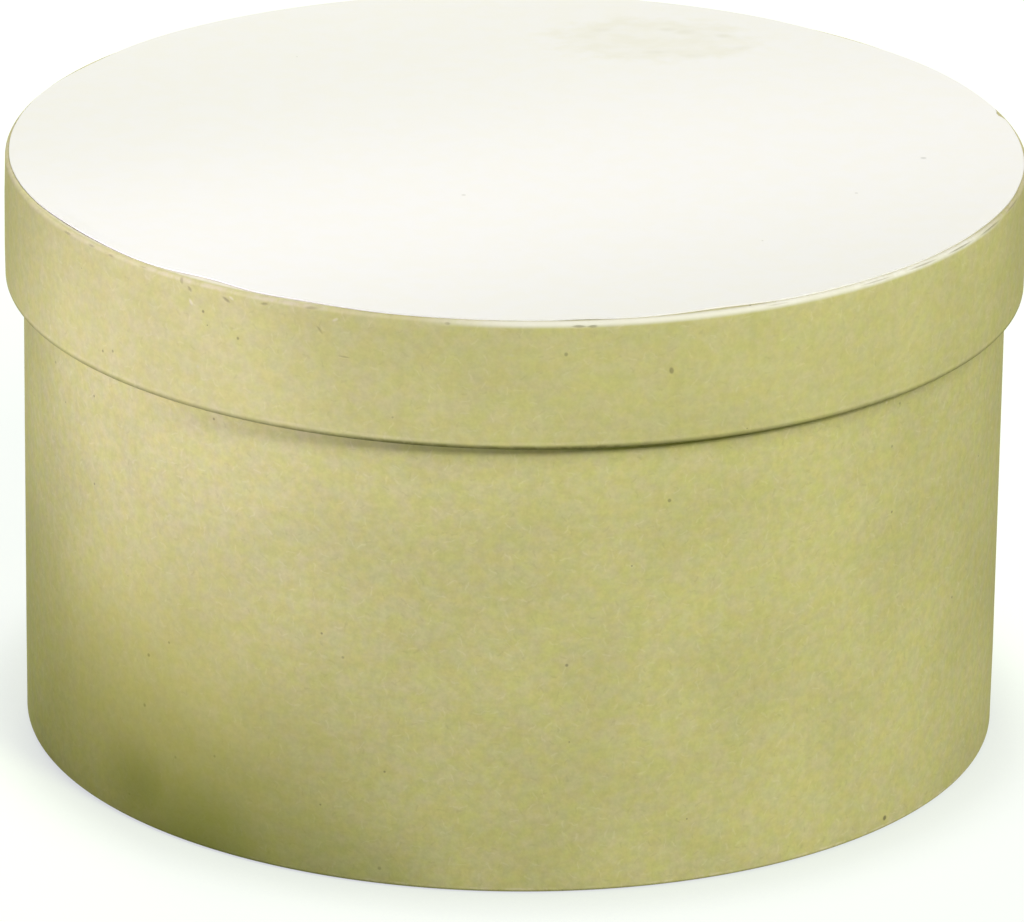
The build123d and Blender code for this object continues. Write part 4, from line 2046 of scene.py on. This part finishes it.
@dataclass(frozen=True)
class Studio:
    """Pale floor, white surroundings and soft lamps.

    Attributes:
        floor_size: side of the floor.
        floor_gap: how far the floor lies below the underside, so that they don't share a plane.
        floor_colour: colour that the floor gives back to the lamps' light.
        floor_white: what the floor adds where it is seen, so that all but shade on it is white.
        foot_shade: share of that which is left right at the foot of a wall.
        foot_shade_reach: how far from a wall it is lessened.
        ambient: strength of the light from all round.
        ambient_colour: its colour, as it comes back from walls and floor round the box.
        lamps: the lamps.
        FLOOR_PARTS: how many faces the floor has along each side.
        FLOOR_ROUGHNESS: roughness of the floor.
        SHADE_SAMPLES: rays that look for a wall near a place on the floor.
        SHADE_SPAN: how open a place is where the shade at the foot is full and where it ends.
    """

    floor_size: float = 8.0
    floor_gap: float = 0.1 * MILLIMETRE
    floor_colour: Colour = (0.24, 0.28, 0.14)
    floor_white: Colour = (0.79, 0.8, 0.86)
    foot_shade: float = 0.8
    foot_shade_reach: float = 0.022
    ambient: float = 0.03
    ambient_colour: Colour = (0.95, 1.0, 0.5)
    lamps: tuple[Lamp, ...] = (
        OvalSpot(
            "key_spot",
            -152.0,
            9.0,
            1.3,
            70.0,
            aim=(-0.070, -0.068, 0.094),
            colour=(1.07, 1.0, 1.35),
            half_height=0.095,
        ),
        SoftLamp("front_lamp", -56.0, 30.0, 2.2, 30.0, size=0.4),
        SoftLamp("fill_lamp", -54.0, 43.0, 2.4, 21.5, size=1.0),
        SoftLamp("rim_lamp", 146.0, 12.0, 1.6, 8.0, size=0.6, colour=(0.96, 1.0, 0.75)),
        SoftLamp("back_lamp", 106.0, 31.0, 1.2, 10.8, size=0.6),
    )

    FLOOR_PARTS: ClassVar[int] = 8
    FLOOR_ROUGHNESS: ClassVar[float] = 0.9
    SHADE_SAMPLES: ClassVar[int] = 8
    SHADE_SPAN: ClassVar[Span] = (0.5, 1.0)

    def make(self) -> None:
        """Sets up the floor, the surroundings and the lamps."""
        bpy.context.scene.view_settings.view_transform = "Standard"
        self._floor()
        self._surroundings()
        for lamp in self.lamps:
            lamp.make()

    def _floor(self) -> None:
        """Lays the floor."""
        grid = bmesh.new()
        parts, half = self.FLOOR_PARTS, self.floor_size / 2
        bmesh.ops.create_grid(grid, x_segments=parts, y_segments=parts, size=half)
        mesh = bpy.data.meshes.new("studio_floor")
        grid.to_mesh(mesh)
        grid.free()
        floor = bpy.data.objects.new("studio_floor", mesh)
        floor.location.z = -self.floor_gap
        bpy.context.scene.collection.objects.link(floor)
        graph = Graph("pale_floor")
        self.seen_white(graph)
        floor.data.materials.append(graph.material)

    def seen_white(self, graph: Graph) -> None:
        """Makes the floor's finish, which is whiter where it is seen than where it lights the box.

        Args:
            graph: the floor's graph.
        """
        graph.shader.inputs["Base Color"].default_value = (*self.floor_colour, 1.0)
        graph.shader.inputs["Roughness"].default_value = self.FLOOR_ROUGHNESS
        graph.shader.inputs["Specular IOR Level"].default_value = 0.0
        graph.shader.inputs["Emission Color"].default_value = (*self.floor_white, 1.0)
        inputs = {"Distance": self.foot_shade_reach}
        near = graph.add("ShaderNodeAmbientOcclusion", inputs, samples=self.SHADE_SAMPLES)
        shade = graph.eased(near.outputs["AO"], *self.SHADE_SPAN, self.foot_shade)
        strength = graph.sum("MULTIPLY", graph.seen(), shade)
        graph.feed(graph.shader.inputs["Emission Strength"], strength)

    def _surroundings(self) -> None:
        """Makes the world: white where it is seen, and a weak even light on the box."""
        world = bpy.data.worlds.new("studio_world")
        world.use_nodes = True
        nodes = Nodes(world.node_tree)
        colour = (*self.ambient_colour, 1.0)
        ambient = nodes.add("ShaderNodeBackground", {"Color": colour, "Strength": self.ambient})
        white = nodes.add("ShaderNodeBackground", {"Color": (1.0, 1.0, 1.0, 1.0)})
        inputs = {0: nodes.seen(), 1: ambient.outputs[0], 2: white.outputs[0]}
        mixed = nodes.add("ShaderNodeMixShader", inputs)
        nodes.add("ShaderNodeOutputWorld", {"Surface": mixed.outputs[0]})
        bpy.context.scene.world = world


def make_finishes() -> Finishes:
    """Makes the finishes of the box.

    Returns:
        The finishes.
    """
    kraft = KraftPaper("kraft", (0.537, 0.5, 0.218))
    inside_specks = replace(kraft.specks, share=0.2)
    return Finishes(
        kraft=kraft,
        pale=PaleSheet(
            "pale_top_sheet",
            (0.842, 0.832, 0.776),
            stain_place=(0.028, 0.071),
            stain_size=(0.022, 0.015),
        ),
        plain_kraft=replace(kraft, name="kraft_plain").material(),
        lining=KraftPaper("kraft_inside", (0.5, 0.43, 0.2), specks=inside_specks).material(),
        board=GreyBoard("pulp_board", (0.3, 0.27, 0.21)).material(),
        tape=GummedTape("brown_tape", (0.36, 0.25, 0.13)).material(),
    )


def main() -> None:
    """Builds the box and its studio."""
    logging.basicConfig(level=logging.INFO, format="%(message)s")
    papers = Papers()
    finishes = make_finishes()
    for part in (Base(papers), Lid(papers)):
        part.build(finishes)
    PhotoCamera().make()
    Studio().make()


if __name__ == "__main__":
    main()
